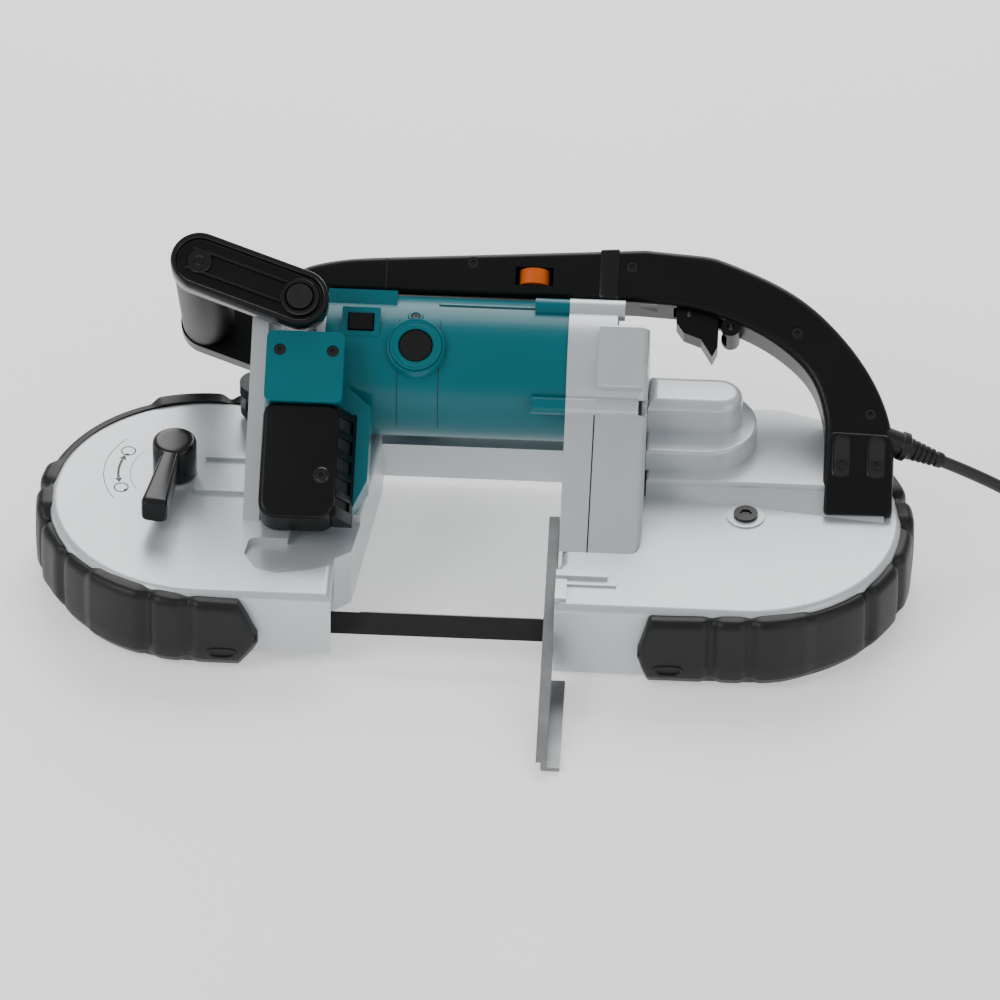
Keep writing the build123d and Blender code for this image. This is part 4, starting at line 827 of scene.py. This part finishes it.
@dataclass
class BailArm:
    """The front handle's near arm: a deep channel with a raised rim and ribs along it."""

    radius: float = 16.5
    front: float = 92.0
    rim: float = 3.0
    tip: tuple[float, float] = (-164.0, 154.0)
    pivot: tuple[float, float] = (-105.0, 134.0)

    def build(self) -> list[bpy.types.Object]:
        """Makes the rim, the ribs and the pivot's boss, riding on the swinging handle."""
        (tx, ty), (px, py) = self.tip, self.pivot
        lean, length = math.atan2(ty - py, tx - px), math.hypot(tx - px, ty - py)
        x, y = TILTED.x * cos(lean) + TILTED.y * sin(lean), TILTED.y * cos(lean) - TILTED.x * sin(lean)
        axes = Axes(TILTED.put(np.array([px, py, 0.0])), x, y, TILTED.z)
        a = np.linspace(-pi / 2, pi / 2, 24)
        tip = np.c_[length + self.radius * np.cos(a), self.radius * np.sin(a)]
        outline = np.r_[tip, np.c_[-self.radius * np.cos(a), -self.radius * np.sin(a)]]
        f, r = self.front, self.rim
        loops = [(0.0, f - 11.6), (-0.25, f - 11.0), (-0.25, f + r - 1.0), (0.1, f + r - 0.3), (0.8, f + r),
                 (2.2, f + r), (2.8, f + r - 0.3), (3.2, f + r - 1.2), (3.5, f + 0.1), (4.2, f + 0.05)]
        grid = np.stack([np.c_[inwards(outline, d), np.full(len(outline), h)] for d, h in loops])
        parts = [dress(skin("arm_rim", axes.put(grid), caps=False), SMOOTH_BLACK)]
        for side in (-6.2, 6.2):
            end, low, high = length + 6, side - 0.8, side + 0.8
            rib = softened([(9, low), (end, low), (end, high), (9, high)], 0.7)
            parts.append(dress(pad("arm_rib", axes, rib, f - 1, f + 1.9, 0.4, 3), SMOOTH_BLACK))
        parts.append(dress(ring("arm_boss", axes, [
            (8.2, f - 1), (8.2, f + r), (8.8, f + r + 0.5), (10.4, f + r + 0.5), (11.2, f + r - 0.2),
            (11.2, f - 1)], 48), SMOOTH_BLACK))
        parts.append(dress(turned("tip_boss", axes.at(length, 0, 0), [
            (0, f - 1), (7.5, f - 1), (7.5, f + 1.4), (6.9, f + 2), (3, f + 2), (2.4, f + 1.4),
            (0, f + 1.4)], 40), SMOOTH_BLACK))
        piece = joined("bail_arm_details", parts)
        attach(piece, "front_handle")
        return [piece]


# ---------------------------------------------------------------- castings
@dataclass
class CastingDetails:
    """The seam on the leg painted as a line of shade, the printed marks by the lever and the blade's teeth;
    teeth sizes in millimetres.
    """

    mark_centre: tuple[float, float] = (-170.0, 20.0)
    deck: float = 50.0
    teeth_start: float = -62.0
    teeth_count: int = 66
    tooth_pitch: float = 1.8
    tooth_foot: float = 6.45
    tooth_height: float = 1.1
    tooth_set: float = 0.18

    def arc(self, name: str, radius: float, start: float, end: float, width: float) -> bpy.types.Object:
        """A printed line on the deck, along a circle round the marks' centre."""
        a = np.radians(np.linspace(start, end, 48))
        r = radius + width / 2 * np.array([-1, -1, 1, 1])
        cx, cy = self.mark_centre
        z = self.deck + np.array([-0.1, 0.06, 0.06, -0.1])
        grid = np.stack(np.broadcast_arrays(cx + r * np.cos(a)[:, None], cy + r * np.sin(a)[:, None], z), -1)
        return dress(skin(name, FLAT.put(grid)), LABEL_INK)

    def marks(self) -> list[bpy.types.Object]:
        """Generic signs for locked and free: two rings joined by an arrow, inside two thin arcs."""
        cx, cy = self.mark_centre
        parts = [self.arc("mark_outer", 46.5, 140, 214, 0.45), self.arc("mark_inner", 31.0, 143, 211, 0.35),
                 self.arc("mark_arrow", 38.0, 164, 190, 1.5)]
        for angle in (151.0, 204.0):
            a = radians(angle)
            at = FLAT.at(cx + 38.5 * cos(a), cy + 38.5 * sin(a), self.deck)
            parts.append(dress(ring("mark_ring", at, [
                (3.6, -0.1), (3.6, 0.06), (4.4, 0.06), (4.4, -0.1)], 36),
                LABEL_INK))
            parts.append(dress(turned("mark_dot", at.at(3.4 * cos(a + 2), 3.4 * sin(a + 2), 0),
                                      [(0, -0.1), (1.0, -0.1), (1.0, 0.06), (0, 0.06)], 16), LABEL_INK))
        for angle, way in ((163.5, -1), (190.5, 1)):
            a = radians(angle)
            along, out = np.array([-sin(a), cos(a)]) * way, np.array([cos(a), sin(a)])
            tip = np.array([cx, cy]) + 38 * out
            corners = np.array([tip + along * 4.2, tip - out * 2.2, tip + out * 2.2])
            if np.cross(corners[1] - corners[0], corners[2] - corners[0]) < 0:
                corners = corners[::-1]
            parts.append(dress(pad("mark_tip", FLAT, corners, self.deck - 0.1, self.deck + 0.06, 0.02, 2),
                               LABEL_INK))
        return parts

    def teeth(self) -> bpy.types.Object:
        """The blade's teeth: wedge k starts at start + pitch k, its tip set left, straight or right in turn.

        Returns:
            All the teeth as one mesh, each with four corners at its foot and two at its tip.
        """
        k, tip = np.arange(self.teeth_count)[:, None], np.array([0, 0, 0, 0, 1, 1])
        up, fwd = CUT_Y * cos(TILT) + BLADE_Z * sin(TILT), -CUT_Y * sin(TILT) + BLADE_Z * cos(TILT)
        pitch = self.tooth_pitch
        x = self.teeth_start + pitch * k + np.array([0, pitch, pitch, 0, 0.15, 0.15])
        y = up + self.tooth_foot + self.tooth_height * tip
        z = fwd + np.array([-0.25, -0.25, 0.25, 0.25, -0.1, 0.1]) + self.tooth_set * (k % 3 - 1) * tip
        points = TILTED.put(np.stack(np.broadcast_arrays(x, y, z), -1)).reshape(-1, 3)
        wedge = ((3, 2, 1, 0), (0, 1, 4), (2, 3, 5), (1, 2, 5, 4), (3, 0, 4, 5))
        faces = [[6 * n + corner for corner in face] for n in range(self.teeth_count) for face in wedge]
        mesh = bpy.data.meshes.new("blade_teeth")
        mesh.from_pydata(points.tolist(), [], faces)
        return dress(finish_mesh("blade_teeth", mesh, 20.0), BLADE_STEEL)

    def build(self) -> list[bpy.types.Object]:
        """Makes the printed marks, the seam painted as shade, and the teeth."""
        # the leg's seam is a thin strip of painted shade
        seam = np.array([(65.7, -14.0), (66.5, -14.0), (67.2, 79.5), (66.4, 79.5)])
        dark = [dress(pad("leg_seam_shade", TILTED, seam, 62.8, 63.38, 0.03, 2), SHADOW)]
        marks = joined("deck_print_and_seam_shade", self.marks() + dark)
        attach(marks, "saw")
        teeth = self.teeth()
        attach(teeth, "saw")
        return [marks, teeth]


# ---------------------------------------------------------------- supply cord
@dataclass
class SupplyCord:
    """The mains lead: a gland, a free run to the floor, a neat coil and a plug."""

    diameter: float = 0.0072
    length: float = 2.5
    coil_centre: tuple[float, float] = (0.392, 0.0078)
    coil_radius: float = 0.040
    route: tuple[Point, ...] = (
        (0.254, 0.055, 0.0665), (0.272, 0.0556, 0.0585), (0.291, 0.0574, 0.048), (0.309, 0.0588, 0.037),
        (0.326, 0.058, 0.024), (0.343, 0.0564, 0.013), (0.361, 0.0554, 0.0056), (0.381, 0.055, 0.0037),
    )

    def coil_points(self) -> list[Point]:
        """Points of the coil: nine turns packed three wide and three high, and a last quarter beside them.

        The angle falls evenly. Each turn keeps its lane, and slides to the next one over 60 degrees by
        t t (3 - 2 t), a little earlier for each later turn, so that it leaves before the next one arrives.

        Returns:
            The coil's points in order, from the incoming run to the plug.
        """
        d = self.diameter * 1.004
        lanes = np.array([(1, 0), (0, 0), (-1, 0), (-1, 1), (-1, 2), (0, 2), (0, 1), (1, 1), (1, 2),
                          (2.05, 1.3)])
        turns = np.linspace(0, 9.25, 9 * 16 + 5)
        lane = np.minimum(np.floor(turns + 1e-9).astype(int), 9)
        part = turns - lane
        start = 1 - 1 / 6 - lane / 36
        t = np.clip((part - start) * 6, 0, 1)
        t = t * t * (3 - 2 * t)
        spot = lanes[lane] * (1 - t)[:, None] + lanes[np.minimum(lane + 1, 9)] * t[:, None]
        angle = pi / 2 - 2 * pi * turns
        r = self.coil_radius + spot[:, 0] * d
        z = self.diameter / 2 + 0.0001 + spot[:, 1] * d
        x, y = self.coil_centre[0] + r * np.cos(angle), self.coil_centre[1] + r * np.sin(angle)
        return list(zip(x.tolist(), y.tolist(), z.tolist()))

    def line(self) -> bpy.types.Object:
        """The lead itself, as one smooth spline with a round section.

        Returns:
            The curve.
        """
        low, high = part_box("power_plug")
        entry = ((low.x + high.x) / 2, high.y - 0.004, (low.z + high.z) / 2)
        points = [*self.route, *self.coil_points(), (entry[0], entry[1] + 0.014, entry[2]), entry]
        curve = bpy.data.curves.new("supply_cord", "CURVE")
        curve.dimensions = "3D"
        curve.bevel_depth = self.diameter / 2
        curve.bevel_resolution = 5
        curve.resolution_u = 5
        curve.use_fill_caps = True
        spline = curve.splines.new("NURBS")
        spline.points.add(len(points) - 1)
        spline.points.foreach_set("co", [v for p in points for v in (*p, 1.0)])
        spline.order_u = 3
        spline.use_endpoint_u = True
        piece = bpy.data.objects.new("supply_cord", curve)
        bpy.context.scene.collection.objects.link(piece)
        dress(piece, CORD_SHEATH)
        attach(piece, "saw")
        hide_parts("power_cord", "cord_coil")
        return piece

    def relief(self) -> bpy.types.Object:
        """Ribbed strain relief that tapers along the lead from the handle's foot."""
        start, after = (np.array(p) for p in self.route[:2])
        z = (after - start) / np.linalg.norm(after - start)
        y = np.cross(z, [1.0, 0.0, 0.0])
        y /= np.linalg.norm(y)
        axes = Axes(start, np.cross(y, z), y, z)
        profile = [(0.0, -23.0), (7.6, -23.0), (7.6, -12.0), (8.6, -11.0), (8.6, -7.5), (7.0, -6.5)]
        for k in range(5):
            at, r = -5.5 + 3.4 * k, 6.5 - 0.35 * k
            profile += [(r, at), (r, at + 1.7), (r - 1.1, at + 2.1), (r - 1.1, at + 3.0)]
        profile += [(4.8, 12.0), (4.6, 15.5), (4.1, 16.2), (0.0, 16.2)]
        return turned("strain_relief", axes, profile, 32)

    def plug(self) -> bpy.types.Object:
        """Moulded two-pin plug that lies beside the coil, its lead entering on the side without pins."""
        low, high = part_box("power_plug")
        middle = np.array([(low.x + high.x) / 2, high.y, (low.z + high.z) / 2])
        axes = Axes(middle, np.array([0, 0, 1.0]), np.array([1.0, 0, 0]), np.array([0, 1.0, 0]))
        stations = [(-0.1, 4.4, 4.4, 2.0), (-3.0, 5.2, 5.2, 2.0), (-8.0, 8.2, 8.6, 2.3),
                    (-14.0, 11.0, 12.2, 3.0), (-26.0, 12.4, 12.8, 4.0), (-34.0, 12.2, 12.6, 4.5),
                    (-37.4, 11.6, 12.0, 5.0), (-38.0, 10.6, 11.0, 5.0)]
        a = np.linspace(0, 2 * pi, 40, endpoint=False)
        rows = []
        for along, half_up, half_across, power in stations:
            c, s = np.cos(a), np.sin(a)
            u = half_up * np.sign(c) * np.abs(c) ** (2 / power)
            v = half_across * np.sign(s) * np.abs(s) ** (2 / power)
            rows.append(np.c_[u, v, np.full_like(a, along)])
        body = skin("plug_body", axes.put(np.stack(rows)), sharp=50)
        dress(body, CORD_SHEATH)
        pins = [turned(f"plug_pin_{k}", axes.at(0, side, -37.5).facing_away(), [(0, 0), (2.4, 0), (2.4, 17.6),
                       (1.9, 18.8), (0.9, 19.3), (0, 19.4)], 20) for k, side in enumerate((-9.5, 9.5))]
        for pin in pins:
            dress(pin, BRIGHT_STEEL)
        return joined("mains_plug", [body, *pins])

    def build(self) -> list[bpy.types.Object]:
        """Makes every piece of the lead and hangs each on the saw's body."""
        plug = self.plug()
        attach(plug, "saw")
        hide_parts("power_plug")
        guard = dress(self.relief(), RUBBER)
        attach(guard, "saw")
        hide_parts("cord_guard")
        return [plug, guard, self.line()]


# ---------------------------------------------------------------- studio
@dataclass
class Studio:
    """Pale floor, soft lights and the camera."""

    azimuth: float = 2.2
    elevation: float = 38.3
    roll: float = 0.9
    distance: float = 5.0
    lens: float = 310.8
    aim_right: float = 0.0147
    aim_up: float = 0.0246
    back_power: float = 55.0
    key_power: float = 14.0
    fill_power: float = 6.0

    def floor(self) -> bpy.types.Object:
        """A wide pale floor."""
        x = np.linspace(-16, 16, 9)
        grid = np.stack(np.broadcast_arrays(x[None, :], x[:, None], -0.0004), -1)
        piece = skin("studio_floor", grid, wrap=False, caps=False)
        n = Nodes("studio_floor")
        n.link(n.shade(n.spread(n.noise(3.0, 2.0), 0, 1), (0.86, 0.86, 0.865), (0.89, 0.89, 0.895)),
               n.shader.inputs["Base Color"])
        n.shader.inputs["Roughness"].default_value = 0.75
        n.shader.inputs["Emission Color"].default_value = (1.0, 1.0, 1.0, 1.0)
        n.shader.inputs["Emission Strength"].default_value = 0.5
        piece.data.materials.append(n.material)
        return piece

    def lamp(self, name: str, place: Point, size: float, power: float, aim: Point = (0, 0, 0.05)) -> None:
        """A square soft light that looks at a point."""
        data = bpy.data.lights.new(name, "AREA")
        data.size, data.energy = size, power
        lamp = bpy.data.objects.new(name, data)
        lamp.location = place
        lamp.rotation_euler = (Vector(aim) - Vector(place)).to_track_quat("-Z", "Y").to_euler()
        bpy.context.scene.collection.objects.link(lamp)

    def camera(self) -> None:
        """The view from the front, above and slightly to the right."""
        a, e = radians(self.azimuth), radians(self.elevation)
        back = Vector((sin(a) * cos(e), -cos(a) * cos(e), sin(e)))
        level = Vector((cos(a), sin(a), 0))
        right = Matrix.Rotation(radians(self.roll), 3, back) @ level
        up = back.cross(right)
        aim = Vector((0, WHEEL_LINE_Y, 0.023)) + right * self.aim_right + up * self.aim_up
        data = bpy.data.cameras.new("view")
        data.lens, data.sensor_width = self.lens, 36.0
        view = bpy.data.objects.new("view", data)
        view.location = aim + back * self.distance
        view.rotation_euler = Matrix((right, up, back)).transposed().to_euler()
        bpy.context.scene.collection.objects.link(view)
        bpy.context.scene.camera = view

    def build(self) -> None:
        """Sets up the whole studio."""
        self.floor()
        world = bpy.data.worlds.new("studio")
        world.use_nodes = True
        world.node_tree.nodes["Background"].inputs[0].default_value = (1.0, 1.0, 1.0, 1.0)
        world.node_tree.nodes["Background"].inputs[1].default_value = 0.5
        bpy.context.scene.world = world
        self.lamp("back", (0.1, 1.9, 1.5), 2.0, self.back_power)
        self.lamp("key", (-1.3, -0.8, 1.3), 0.9, self.key_power)
        self.lamp("fill", (1.5, -1.1, 0.9), 1.0, self.fill_power)
        self.camera()


# ---------------------------------------------------------------- the whole saw
def dress_nodes() -> None:
    """Gives each node of the frame its own finish."""
    for name, piece in frame["nodes"].items():
        finish = NODE_FINISHES.get(name, BRIGHT_STEEL)
        dress(piece, finish)
        log.info("node %s: %s", name, finish.name)


def main() -> None:
    """Builds the studio and every sub-assembly in order."""
    logging.basicConfig(level=logging.INFO, format="%(name)s: %(message)s")
    Studio().build()
    dress_nodes()
    for group in (SupplyCord(), Guards(), TensionLever(), MotorDetails(), BlowerBox(), HandleDetails(),
                  BailArm(), CastingDetails()):
        for piece in group.build():
            log.info("piece %s", piece.name)


if __name__ == "__main__":
    main()
